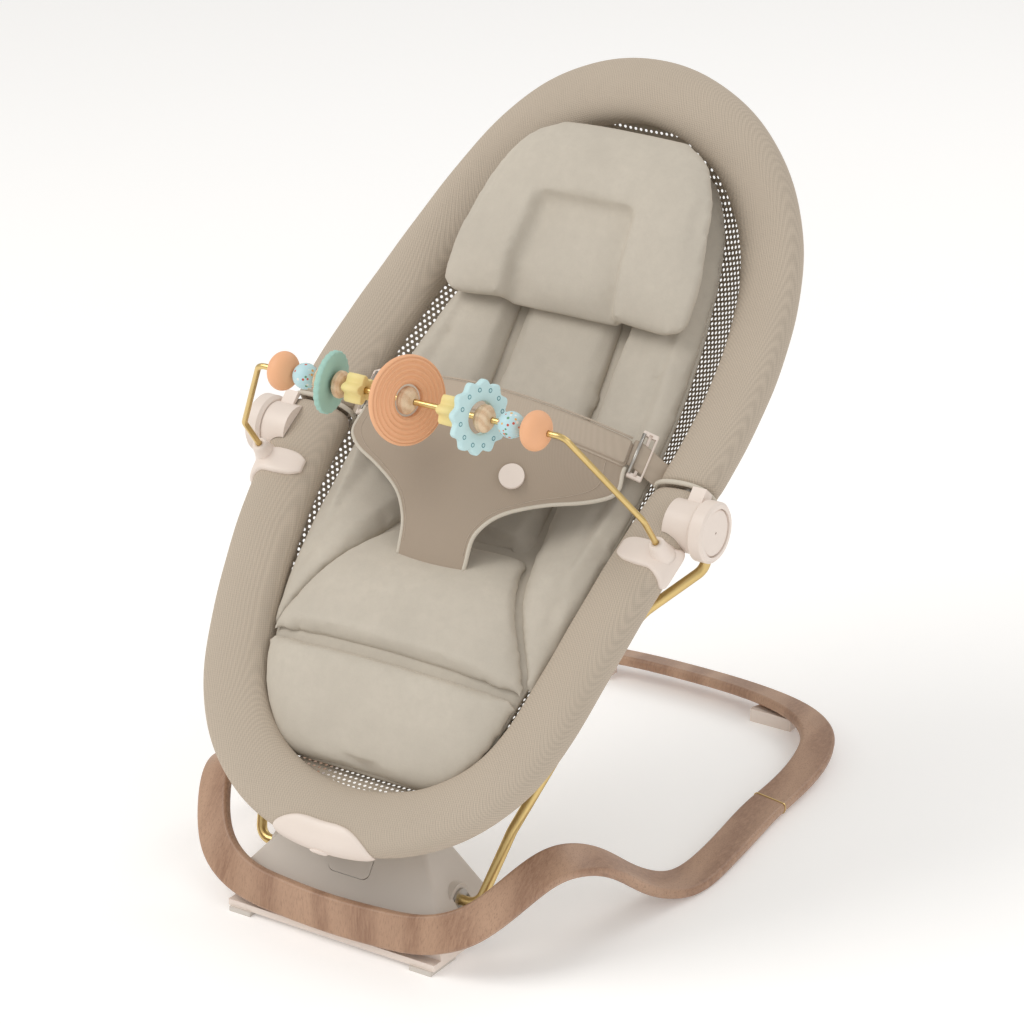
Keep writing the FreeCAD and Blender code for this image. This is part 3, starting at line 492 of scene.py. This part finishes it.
# ---------------------------------------------------------------- padded rim
# Centre line of the rim: half width, distance from the foot, height.
RIM_POINTS = [
    (0, 22, -8), (90, 48, -7), (131, 93, -5), (152, 158, 0), (168, 262, 0), (175, 350, -16),
    (174, 433, -34), (165, 503, -45), (146, 573, -46), (88, 652, -26), (0, 680, -14),
]
BAND_WIDE, BAND_THICK, BAND_TILT = 27.0, 15.5, math.radians(12)
BAND_SHIFT = 4.0  # the band's middle lies this far inside the tube's line
COLLAR_S = 348


def closed_spline(points):
    """Periodic cubic spline through points: returns a function of the travelled length and that length."""
    knots = np.array(points, dtype=float)
    count = len(knots)
    steps = np.linalg.norm(np.roll(knots, -1, axis=0) - knots, axis=1)
    matrix = np.zeros((count, count))
    target = np.zeros((count, 3))
    for k in range(count):
        before, after = steps[k - 1], steps[k]
        matrix[k, k - 1] = before
        matrix[k, k] = 2 * (before + after)
        matrix[k, (k + 1) % count] = after
        target[k] = 6 * ((knots[(k + 1) % count] - knots[k]) / after - (knots[k] - knots[k - 1]) / before)
    bends = np.linalg.solve(matrix, target)
    starts = np.concatenate([[0], np.cumsum(steps)])

    def value(u):
        u %= starts[-1]
        k = min(int(np.searchsorted(starts, u, side="right")) - 1, count - 1)
        after = (k + 1) % count
        step = steps[k]
        b = (u - starts[k]) / step
        a = 1 - b
        bend = ((a**3 - a) * bends[k] + (b**3 - b) * bends[after]) * step**2 / 6
        return a * knots[k] + b * knots[after] + bend

    return value, float(starts[-1])


rim_line, rim_long = closed_spline(RIM_POINTS + [(-x, s, n) for x, s, n in RIM_POINTS[1:-1][::-1]])
RIM_SAMPLES = 360
rim_places = [rim_long * k / RIM_SAMPLES for k in range(RIM_SAMPLES + 1)]


def rim_directions(u):
    """Centre, direction across towards the sling and direction out of the band, in the seat plane."""
    centre = rim_line(u)
    travel = rim_line(u + 1) - rim_line(u - 1)
    travel /= np.linalg.norm(travel)
    inward = np.cross([0, 0, 1.0], travel)
    inward /= np.linalg.norm(inward)
    if inward.dot(np.array([0, 350, -16]) - centre) < 0:
        inward = -inward
    raised = np.cross(travel, inward)
    raised /= np.linalg.norm(raised)
    if raised[2] < 0:
        raised = -raised
    across = inward * math.cos(BAND_TILT) - raised * math.sin(BAND_TILT)
    through = inward * math.sin(BAND_TILT) + raised * math.cos(BAND_TILT)
    return centre + inward * BAND_SHIFT, across, through


def rim_point(u, turn, wide, thick, plump=1.0):
    """A point of the band's skin.  A section is an oval, a little squarer than an ellipse."""
    centre, across, through = rim_directions(u)
    cosine, sine = math.cos(turn), math.sin(turn)
    power = 2 / (2 + 0.35 * plump)
    x = math.copysign(abs(cosine) ** power, cosine) * wide
    y = math.copysign(abs(sine) ** power, sine) * thick
    return at(*(centre + across * x + through * y))


WRONG_SIDE = 1e3


def rim_place(s, side):
    """Travelled length along the rim where it passes s on one side, 1 for right and -1 for left."""
    def miss(u):
        x, here, _ = rim_line(u)
        return abs(here - s) + (0 if x * side > 0 else WRONG_SIDE)
    return min(rim_places, key=miss)


collar_right, collar_left = rim_place(COLLAR_S, 1), rim_place(COLLAR_S, -1)
SECTION = 40


def band(name, start, end, node):
    """One padded stretch of rim from start to end, with a shallow pull at its ends."""
    count = int((end - start) / 5)
    rings = []
    for k in range(count + 1):
        u = start + (end - start) * k / count
        near_end = min(k, count - k) * 5
        plump = 1 - 0.10 * math.exp(-near_end / 5)
        ripple = 0.25 * math.sin(u * 0.11) + 0.2 * math.sin(u * 0.047 + 1)
        rings.append([
            rim_point(
                u, 2 * math.pi * j / SECTION,
                (BAND_WIDE + ripple * 0.4) * plump, (BAND_THICK + ripple * 0.4) * plump,
            )
            for j in range(SECTION)
        ])
    obj = subdivided(swept(name, rings))
    finish(obj, "rim_fabric")
    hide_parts(node)
    return obj


band("rim_band_upper", collar_right + 1.6, collar_left - 1.6, "rim_cover_upper")
band("rim_band_lower", collar_left + 1.6, collar_right + rim_long - 1.6, "rim_cover_lower")


def rim_ring(name, u, proud, node):
    """A piping ring round the band."""
    path = [rim_point(u, 2 * math.pi * j / 48, BAND_WIDE + proud, BAND_THICK + proud) for j in range(48)]
    obj = tube(name, path, 2.0 * MM, sides=10, closed=True)
    finish(obj, "piping")
    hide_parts(node)


rim_ring("collar_piping_right", collar_right, 0.2, "collar_ring_right")
rim_ring("collar_piping_left", collar_left, 0.2, "collar_ring_left")

# A sewn line along the inner edge of the band, where the sling is joined.
for name, turn in (("rim_seam_inner", math.radians(-24)), ("rim_seam_under", math.radians(-128))):
    path = [rim_point(u, turn, BAND_WIDE - 0.1, BAND_THICK - 0.1) for u in rim_places[:-1]]
    finish(tube(name, path, 0.9 * MM, sides=6, closed=True), "rim_fabric")

# ---------------------------------------------------------------- mesh sling
# Sling: distance from the foot, half width, height of its edge and of its middle.
SLING = [
    (44, 60, -12, -12), (56, 80, -14, -18), (82, 106, -17, -42), (130, 126, -15, -66), (200, 140, -12, -88),
    (270, 148, -12, -104), (350, 154, -27, -110), (430, 153, -44, -110), (510, 141, -55, -108),
    (580, 119, -56, -97), (625, 92, -50, -74), (645, 76, -38, -52), (660, 60, -26, -30), (668, 46, -20, -20),
]
HOLE_PITCH, ROW_PITCH = 4.9, 4.2
HOLE_RADIUS = 1.3
HALF_HOLES = 100  # more half pitches than the sling is wide, each side of its middle
# Turns of the points round a hole, denser beside the six corners of its cell.
HOLE_TURNS = (0, 22.5, 45, 67.5, 90, 135, 180, 202.5, 225, 247.5, 270, 315)


def sling_row(s):
    """Points across the sling at s, half a hole pitch apart along its hanging curve, by their number."""
    half_wide = read([(row[0], row[1]) for row in SLING], s)
    edge = read([(row[0], row[2]) for row in SLING], s)
    deep = read([(row[0], row[3]) for row in SLING], s)
    shares = np.linspace(0, 1.04, 120)
    heights = edge - (edge - deep) * (1 - shares**2.4)
    runs = np.concatenate([[0], np.cumsum(np.hypot(np.diff(shares * half_wide), np.diff(heights)))])
    row = {}
    for column in range(-HALF_HOLES, HALF_HOLES + 1):
        run = abs(column) * HOLE_PITCH / 2
        if run <= runs[-1]:
            share = float(np.interp(run, runs, shares))
            height = float(np.interp(run, runs, heights))
            row[column] = at(math.copysign(share * half_wide, column), s, height)
    return row


def mesh_sling():
    """An open mesh cloth: rows of round holes, staggered like bricks, in one sheet."""
    low, high = SLING[0][0], SLING[-1][0]
    rows = int((high - low) / ROW_PITCH)
    vertices, faces, grid = [], [], {}
    for r in range(rows + 1):
        for column, point in sling_row(low + (high - low) * r / rows).items():
            grid[r, column] = len(vertices)
            vertices.append(point)
    for r in range(rows):
        for first in range(-HALF_HOLES + r % 2, HALF_HOLES - 1, 2):
            keys = [(r, first + k) for k in (0, 1, 2)] + [(r + 1, first + k) for k in (2, 1, 0)]
            if any(key not in grid for key in keys):
                continue
            corners = [grid[key] for key in keys]
            low_left, low_right, high_right, high_left = (vertices[corners[k]] for k in (0, 2, 3, 5))
            centre = (low_left + low_right + high_right + high_left) / 4
            side = (low_right - low_left).normalized()
            rise = vertices[corners[4]] - vertices[corners[1]]
            rise = (rise - side * rise.dot(side)).normalized()
            ring = len(vertices)
            for degrees in HOLE_TURNS:
                turn = math.radians(degrees - 135)
                vertices.append(centre + (side * math.cos(turn) + rise * math.sin(turn)) * (HOLE_RADIUS * MM))
            for k in range(6):
                hole_edge = [ring + (2 * k + 2) % 12, ring + 2 * k + 1, ring + 2 * k]
                faces.append((corners[k], corners[(k + 1) % 6], *hole_edge))
    obj = new_object("mesh_sling_skin", vertices, faces)
    finish(obj, "mesh_fabric")
    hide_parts("mesh_sling")


mesh_sling()

# ---------------------------------------------------------------- inlay
MIDDLE = [(60, -22), (84, -10), (110, 4), (150, 22), (180, 20), (221, 8), (262, -22), (300, -44), (350, -53),
          (401, -52), (479, -43), (560, -38), (640, -34)]
EDGE = [(60, -20), (93, -12), (150, -2), (200, -4), (262, -8), (350, -22), (433, -38), (503, -48), (573, -50),
        (640, -40)]
HALF = [(64, 66), (72, 80), (86, 92), (105, 105), (130, 114), (158, 120), (262, 134), (350, 136), (433, 128),
        (503, 116), (573, 98), (620, 72), (645, 46)]
SEAM = [(148, 120), (175, 110), (210, 92), (250, 70), (300, 54), (400, 50), (500, 48), (600, 42), (640, 34)]


def bowl(x, s):
    """Height of the inlay's seams over the seat plane."""
    middle, edge, half = read(MIDDLE, s), read(EDGE, s), read(HALF, s)
    return middle + (edge - middle) * min(1.0, abs(x) / half) ** 2.2


def patch(name, bounds, sides, puff, depth, rows, columns, fall=5, base=bowl, channels=()):
    """A closed padded patch between bounds along the seat and sides across it."""
    low, high = bounds
    left, right = sides
    top, under = [], []
    for r in range(rows + 1):
        v = r / rows
        s = low + (high - low) * v
        for c in range(columns + 1):
            u = c / columns
            x = left(s) + (right(s) - left(s)) * u
            rise = max(0.0, (1 - abs(2 * u - 1) ** fall) * (1 - abs(2 * v - 1) ** fall)) ** 0.5
            floor_n = base(x, s)
            sewn = sum(cut * math.exp(-(((u - place) / 0.055) ** 2)) for place, cut in channels) * rise
            top.append((x, s, floor_n + puff * rise - sewn))
            under.append((x, s, floor_n - depth * rise))
    wide = columns + 1
    vertices, keys, faces = [], {}, []
    for layer, points in (("top", top), ("under", under)):
        for k, point in enumerate(points):
            r, c = divmod(k, wide)
            border = r in (0, rows) or c in (0, columns)
            key = ("edge" if border else layer, r, c)
            if key not in keys:
                keys[key] = len(vertices)
                vertices.append(at(*point))
    for layer in ("top", "under"):
        def corner(r, c, layer=layer):
            border = r in (0, rows) or c in (0, columns)
            return keys["edge" if border else layer, r, c]
        for r in range(rows):
            for c in range(columns):
                faces.append((corner(r, c), corner(r, c + 1), corner(r + 1, c + 1), corner(r + 1, c)))
    obj = new_object(name, vertices, faces)
    outward_faces(obj)
    return obj


CLOTH_FRAMES = 20


def inflated(obj, cap, voxel=5.0, pressure=4.0):
    """Remeshes a pad, blows it up a little as cloth and keeps each point within cap of where it was."""
    bpy.context.view_layer.objects.active = obj
    remesh = obj.modifiers.new("Remesh", "REMESH")
    remesh.mode = "VOXEL"
    remesh.voxel_size = voxel * MM
    remesh.use_smooth_shade = True
    for other in bpy.context.selected_objects:
        other.select_set(False)
    obj.select_set(True)
    bpy.ops.object.modifier_apply(modifier=remesh.name)
    count = len(obj.data.vertices)
    rest = np.empty(count * 3)
    obj.data.vertices.foreach_get("co", rest)
    cloth = obj.modifiers.new("Cloth", "CLOTH")
    cloth.settings.use_pressure = True
    cloth.settings.uniform_pressure_force = pressure
    cloth.settings.effector_weights.gravity = 0
    cloth.settings.quality = 4
    cloth.point_cache.frame_start = 1
    cloth.point_cache.frame_end = CLOTH_FRAMES
    for number in range(1, CLOTH_FRAMES + 1):
        bpy.context.scene.frame_set(number)
    bpy.ops.object.modifier_apply(modifier=cloth.name)
    moved = np.empty(count * 3)
    obj.data.vertices.foreach_get("co", moved)
    step = (moved - rest).reshape(-1, 3)
    far = np.linalg.norm(step, axis=1, keepdims=True)
    step *= np.minimum(1.0, cap * MM / np.maximum(far, 1e-9))
    obj.data.vertices.foreach_set("co", (rest.reshape(-1, 3) + step).ravel())
    obj.data.update()
    bpy.context.scene.frame_set(1)
    obj.data.polygons.foreach_set("use_smooth", [True] * len(obj.data.polygons))
    return subdivided(obj)


def inlay_pad(obj, node, cap=4.0):
    inflated(obj, cap)
    finish(obj, "inlay_fabric")
    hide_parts(node)
    return obj


def half(s):
    return read(HALF, s)


def seam(s):
    return min(read(SEAM, s), half(s) - 3)


def backing(low, high, rows=120, columns=40):
    """A thin quilted cloth under all the pads, so that their seams close on fabric."""
    rings = []
    for r in range(rows + 1):
        s = low + (high - low) * r / rows
        wide = read(HALF, s) - 4
        upper = [at(wide * (-1 + 2 * c / columns), s, bowl(wide * (-1 + 2 * c / columns), s) - 0.5)
                 for c in range(columns + 1)]
        rings.append(upper + [point - OUT * (3 * MM) for point in upper[::-1]])
    obj = swept("inlay_backing", rings)
    finish(obj, "inlay_fabric")


backing(67, 640)
inlay_pad(patch("leg_pad", (64, 152), (lambda s: -half(s), half), 11, 10, 24, 48), "inlay_leg")
middle_sides = (lambda s: -seam(s) - 1, lambda s: seam(s) + 1)
right_sides = (lambda s: seam(s) - 1, half)
left_sides = (lambda s: -half(s), lambda s: 1 - seam(s))
inlay_pad(patch("seat_pad", (150, 269), middle_sides, 12, 12, 28, 44), "inlay_seat")
inlay_pad(patch("back_pad", (267, 640), middle_sides, 8, 10, 72, 24, fall=7), "inlay_back")
inlay_pad(patch("wing_pad_right", (151, 625), right_sides, 13, 9, 90, 26, fall=4, channels=[(0.66, 6)]),
          "inlay_wing_right")
inlay_pad(patch("wing_pad_left", (151, 625), left_sides, 13, 9, 90, 26, fall=4, channels=[(0.34, 6)]),
          "inlay_wing_left")

# ---------------------------------------------------------------- head pillow
PILLOW_LOW, PILLOW_HIGH = 470, 634
PILLOW_HALF = [(470, 108), (478, 116), (500, 119), (550, 112), (600, 96), (622, 80), (634, 60)]


def soft_step(t):
    t = min(1.0, max(0.0, t))
    return t * t * (3 - 2 * t)


def pillow_base(x, s):
    return read([(470, -20), (500, -14), (560, -8), (600, -8), (640, -16)], s) - 8 * (abs(x) / 115) ** 2


def pillow_top(x, s):
    """A U-shaped bolster round a flatter recess that is open at the foot side."""
    wide = 48 - 0.10 * (s - 480)
    beside = soft_step((abs(x) - wide) / 9)
    above = soft_step((s - 556) / 9)
    bolster = max(beside, above)
    return pillow_base(x, s) + bolster * 13 - (1 - bolster) * 1


def pillow_half(s):
    return read(PILLOW_HALF, s)


pillow = patch("head_pillow_pad", (PILLOW_LOW, PILLOW_HIGH), (lambda s: -pillow_half(s), pillow_half),
               10, 22, 60, 80, fall=5, base=pillow_top)
inlay_pad(pillow, "head_pillow", cap=3.0)

# ---------------------------------------------------------------- belly panel
# Panel: distance from the foot, half width, height of its middle and of its edges.
PANEL = [
    (212, 31, 6, 4), (240, 31, 16, 13), (266, 35, 26, 22), (286, 52, 32, 22), (302, 80, 37, 17),
    (314, 106, 41, 9), (324, 120, 43, 3), (350, 122, 46, 1), (376, 121, 46, 1),
]
PANEL_THICK = 2.4
BAND_FROM = 352


def panel_point(across, s, lift=0.0):
    half_wide = read([(row[0], row[1]) for row in PANEL], s)
    middle = read([(row[0], row[2]) for row in PANEL], s)
    edge = read([(row[0], row[3]) for row in PANEL], s)
    return at(half_wide * across, s, middle - (middle - edge) * across**2 + lift)


def panel_sheet(name, low, high, rows, thick, lift=0.0, inset=1.0):
    """A stretch of the panel as a thin closed cloth."""
    columns = 40
    rings = []
    for r in range(rows + 1):
        s = low + (high - low) * r / rows
        upper = [panel_point(inset * (-1 + 2 * c / columns), s, lift + thick) for c in range(columns + 1)]
        lower = [panel_point(inset * (1 - 2 * c / columns), s, lift) for c in range(columns + 1)]
        rings.append(upper + lower)
    return swept(name, rings)


panel = subdivided(panel_sheet("belly_panel_cloth", 212, 376, 44, PANEL_THICK))
finish(panel, "panel_fabric")
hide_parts("belly_panel")
top_band = subdivided(
    panel_sheet("belly_panel_band", BAND_FROM, 376.4, 8, 0.7, lift=PANEL_THICK - 0.1, inset=0.995))
finish(top_band, "panel_fabric", look="panel_band")
for side, sign in (("right", 1), ("left", -1)):
    path = [panel_point(sign * 1.0, s, PANEL_THICK * 0.6) for s in np.linspace(236, 352, 60)]
    finish(tube("panel_piping_" + side, path, 1.7 * MM, sides=10), "piping")
    seam_path = [panel_point(sign * 0.90, s, PANEL_THICK + 0.05) for s in np.linspace(246, 350, 50)]
    finish(tube("panel_stitch_" + side, seam_path, 0.35 * MM, sides=6), "panel_fabric", look="panel_band")
for name, s in (("panel_hem_low", BAND_FROM), ("panel_hem_high", 376)):
    path = [panel_point(across, s, PANEL_THICK + 0.3) for across in np.linspace(-0.99, 0.99, 60)]
    finish(tube(name, path, 0.8 * MM, sides=8), "panel_fabric", look="panel_band")

# ---------------------------------------------------------------- side straps and buckle bars
BAR_X, BAR_S, BAR_HALF = 126, 366, 17
STRAP_WIDE, STRAP_THICK = 22, 1.5
for side, sign in (("right", 1), ("left", -1)):
    line = [(120, 366, 1), (127, 365, -2), (135, 362, -9), (143, 359, -16), (150, 357, -22), (155, 355, -28)]
    line = smooth_path([Vector(point) for point in line], 6)
    rings = []
    for x, s, n in line:
        ring = []
        for along, up in ((-1, 0), (-0.94, 1), (0, 1.1), (0.94, 1), (1, 0), (0.94, -1), (0, -1), (-0.94, -1)):
            raised = up * 0.5 * STRAP_THICK
            ring.append(at(sign * (x + raised), s + along * STRAP_WIDE / 2, n + raised))
        rings.append(ring)
    strap = subdivided(swept("strap_webbing_" + side, rings))
    finish(strap, "panel_fabric", look="panel_band")
    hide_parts("side_strap_" + side)
    ends = [at(sign * BAR_X, BAR_S - BAR_HALF, 1), at(sign * BAR_X, BAR_S + BAR_HALF, 1)]
    bar = tube("strap_bar_" + side, ends, 1.5 * MM, 12)
    finish(bar, "steel")

# ---------------------------------------------------------------- saddle clips and badge plate
SHELL_EDGE = 0.35  # a shell's height at its edge, as a share of its full height


def rim_shell(name, place, turns, proud, half_long, node, rows=36, columns=28):
    """A moulded shell on the band.  half_long gives its half length along the rim over its wrap, 0 to 1."""
    outer, inner = [], []
    start, end = turns
    for r in range(rows + 1):
        share = r / rows
        turn = math.radians(start + (end - start) * share)
        long = half_long(share)
        for c in range(columns + 1):
            run = -1 + 2 * c / columns
            near = (1 - abs(run) ** 8) * (1 - abs(2 * share - 1) ** 10)
            high = proud * (SHELL_EDGE + (1 - SHELL_EDGE) * max(0.0, near) ** 0.5)
            outer.append(rim_point(place + run * long, turn, BAND_WIDE + high, BAND_THICK + high))
            inner.append(rim_point(place + run * long, turn, BAND_WIDE - 0.4, BAND_THICK - 0.4))
    wide = columns + 1
    vertices = outer + inner
    under = len(outer)
    faces = []
    for r in range(rows):
        for c in range(columns):
            a = r * wide + c
            faces.append((a, a + 1, a + wide + 1, a + wide))
            faces.append((under + a, under + a + wide, under + a + wide + 1, under + a + 1))
    border = list(range(columns)) + [r * wide + columns for r in range(rows)]
    border += [rows * wide + c for c in range(columns, 0, -1)] + [r * wide for r in range(rows, 0, -1)]
    for here, there in zip(border, border[1:] + border[:1]):
        faces.append((here, there, under + there, under + here))
    obj = new_object(name, vertices, faces)
    outward_faces(obj)
    subdivided(obj)
    finish(obj, "cream_plastic")
    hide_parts(node)


CLIP_S, SOCKET_X = 289, 186
CLIP_TURNS, CLIP_PROUD = (62, 200), 4.0
SOCKET_RUN = Vector((0, 8, 50)).normalized()
# Half section of the socket round the bar's wire: distance along it and radius.
SOCKET = [(0, 10.5), (3, 9.5), (7, 8.2), (12, 7.2), (17, 6.4), (18.4, 5.6), (18.8, 4.6), (18.8, 2.6),
          (17, 2.5), (1, 2.5)]


def clip_half(share):
    """Half length of a clip: a narrow nose over the band, a slight waist and a broad tail."""
    return read([(0, 5), (0.1, 9), (0.3, 11), (0.5, 10), (0.75, 14), (0.92, 17), (1.0, 13)], share)


for side, sign in (("right", 1), ("left", -1)):
    rim_shell("saddle_clip_" + side, rim_place(CLIP_S - 4, sign), CLIP_TURNS, CLIP_PROUD, clip_half,
              "toy_clip_" + side)
    foot = Vector((SOCKET_X, CLIP_S, 10)) + SOCKET_RUN * -2
    base = at(sign * foot.x, foot.y, foot.z)
    axis = ALONG * SOCKET_RUN.y + OUT * SOCKET_RUN.z
    finish(turned("clip_socket_" + side, SOCKET, base, axis, 48), "cream_plastic")

foot_place = min(rim_places, key=lambda u: rim_line(u)[1])


def badge_outline(share):
    """Half length of the badge plate: rounded upper corners, widest near its lower edge."""
    if share < 0.87:
        return 12 + 29 * (1 - (1 - min(1.0, share * 1.15)) ** 2.4) ** 0.5
    return 41 - (share - 0.87) * 30


rim_shell("badge_shell", foot_place, (112, 214), 3.0, badge_outline, "badge_plate")


def badge_nub():
    """A small raised oval catch on the badge plate."""
    rings = []
    for level, grow in ((2.4, 1.0), (3.4, 1.0), (4.4, 0.9), (4.8, 0.7), (4.8, 0.4)):
        ring = []
        for k in range(28):
            turn = 2 * math.pi * k / 28
            ring.append(rim_point(foot_place + 7.5 * grow * math.cos(turn),
                                  math.radians(186) + math.radians(7) * grow * math.sin(turn),
                                  BAND_WIDE + level, BAND_THICK + level))
        rings.append(ring)
    finish(swept("badge_nub", rings), "cream_plastic")


badge_nub()

# ---------------------------------------------------------------- toys on the bar
spins = {joint["child"]: Vector(joint["pos_m"])
         for joint in frame["record"]["behaviour"]["joints"] if joint["name"].endswith("_spin")}
ACROSS = Vector((1, 0, 0))
LEAN_AXIS = Vector((0, 0.45, 0.89))


def on_bar(x):
    """A point on the toy bar's straight run."""
    return Vector((x * MM, spins["teether_disc"].y, spins["teether_disc"].z))


def leaning(angle):
    """The axis of a ring that leans on the bar."""
    return Matrix.Rotation(math.radians(angle), 3, LEAN_AXIS) @ ACROSS


def toy(obj, name, slot):
    finish(obj, slot, body=name)
    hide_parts(name)
    return obj


def ridged(radius, hole, thick, ridges, ridge_high):
    """Half section of a disc with concentric ridges on both faces."""
    steps = ridges * 10
    face = []
    for k in range(steps + 1):
        reach = hole + 1.2 + (radius - hole - 3.2) * k / steps
        wave = 0.5 - 0.5 * math.cos(2 * math.pi * ridges * k / steps)
        face.append((thick / 2 - ridge_high * (1 - wave) - 0.8 * (reach / radius) ** 4, reach))
    edge = []
    for k in range(9):
        turn = math.pi * (k / 8 - 0.5)
        edge.append((-math.sin(turn) * (thick / 2 - 1.2), radius - 2 + 2 * math.cos(turn)))
    inner = []
    for k in range(7):
        turn = math.pi * (k / 6 - 0.5)
        inner.append((math.sin(turn) * (thick / 2 - 0.8), hole + 1.2 - 1.2 * math.cos(turn)))
    return face + edge + [(-along, reach) for along, reach in face[::-1]] + inner


teether_section = ridged(radius=35, hole=12.5, thick=7.5, ridges=5, ridge_high=1.1)
toy(turned("teether", teether_section, on_bar(0), leaning(-22), 96), "teether_disc", "terracotta")


def bead_profile(half_long, radius, bore, grooves=0):
    """Half section of a turned bead; grooves cut rings across it."""
    profile = []
    steps = 44
    for k in range(steps + 1):
        turn = math.pi * k / steps
        swell = max(bore, radius * math.sin(turn) ** 0.85)
        along = -half_long * math.cos(turn)
        if grooves and 4 < k < steps - 4:
            swell -= 0.55 * (0.5 + 0.5 * math.cos(2 * math.pi * grooves * (k - 4) / (steps - 8))) ** 3
        profile.append((along, swell))
    profile += [(half_long * 0.9, bore), (-half_long * 0.9, bore)]
    return profile


WOOD_BEADS = {"wood_bead_left": (-79.2, 5), "wood_bead_inner": (-62, 5), "wood_bead_centre": (0, 7),
              "wood_bead_right": (70, 7)}
for name, (x, half_long) in WOOD_BEADS.items():
    toy(turned(name + "_turning", bead_profile(half_long, 11, 2.6, 4), on_bar(x), ACROSS), name, "bead_wood")
for name, x in (("end_bead_left", -116.3), ("end_bead_right", 116)):
    toy(turned(name + "_turning", bead_profile(10.5, 15.5, 2.6), on_bar(x), ACROSS), name, "terracotta")


def cut_disc(name, outline, thick, centre, axis, hole, round_by=1.3):
    """A moulded flat toy: outline gives the radius at each turn, with rounded edges and a round hole."""
    axis = axis.normalized()
    side = axis.cross(Vector((0, 0.3, 1))).normalized()
    other = axis.cross(side)
    count = 180
    rings = []
    for k in range(count):
        turn = 2 * math.pi * k / count
        out = side * math.cos(turn) + other * math.sin(turn)
        reach = outline(turn)
        section = []
        for j in range(7):
            lean = math.pi / 2 * (1 - j / 3)
            face = math.copysign(thick / 2 - round_by, math.sin(lean)) * (j != 3)
            section.append((math.sin(lean) * round_by + face, reach - round_by + math.cos(lean) * round_by))
        inside = [(-(thick / 2), hole + 0.8), (-(thick / 2) + 0.8, hole),
                  (thick / 2 - 0.8, hole), (thick / 2, hole + 0.8)]
        middle = (hole + reach) / 2
        section += [(-thick / 2, middle)] + inside + [(thick / 2, middle)]
        rings.append([centre + axis * (along * MM) + out * (radius * MM) for along, radius in section])
    return swept(name, rings, closed=True)


def petals(turn):
    return 29 - 3.5 * (0.5 - 0.5 * math.cos(12 * turn))


def star(turn):
    return 12 - 4 * (0.5 - 0.5 * math.cos(5 * turn))


toy(cut_disc("flower", petals, 6, on_bar(65), leaning(-14), 12.8), "flower_disc", "sky")
dot_axis = leaning(-14)
dot_side = dot_axis.cross(Vector((0, 0.3, 1))).normalized()
dot_other = dot_axis.cross(dot_side)
for k in range(12):
    turn = 2 * math.pi * (k + 0.5) / 12
    spot = on_bar(65) + (dot_side * math.cos(turn) + dot_other * math.sin(turn)) * (21.5 * MM)
    for face, sign in (("front", 1), ("back", -1)):
        cup = [(0, 1.9), (0.25, 1.7), (0.25, 1.2), (-1.4, 1.1), (-1.4, 0.05), (-1.6, 0.05), (-1.6, 2.0)]
        on_face = spot + dot_axis * (sign * 2.95 * MM)
        eyelet = turned(f"flower_eyelet_{face}_{k}", cup, on_face, dot_axis * sign, 20)
        finish(eyelet, "sky", body="flower_disc", look="sky_deep")
for name, x in (("star_left", -46), ("star_right", 41)):
    toy(cut_disc(name + "_block", star, 16, on_bar(x), ACROSS, 2.6), name, "straw")


def leaf(turn):
    return 25 - 0.7 * (0.5 - 0.5 * math.cos(24 * turn))


toy(cut_disc("leaf_ring", leaf, 5, on_bar(-71), leaning(8), 5), "grooved_ring", "sage")
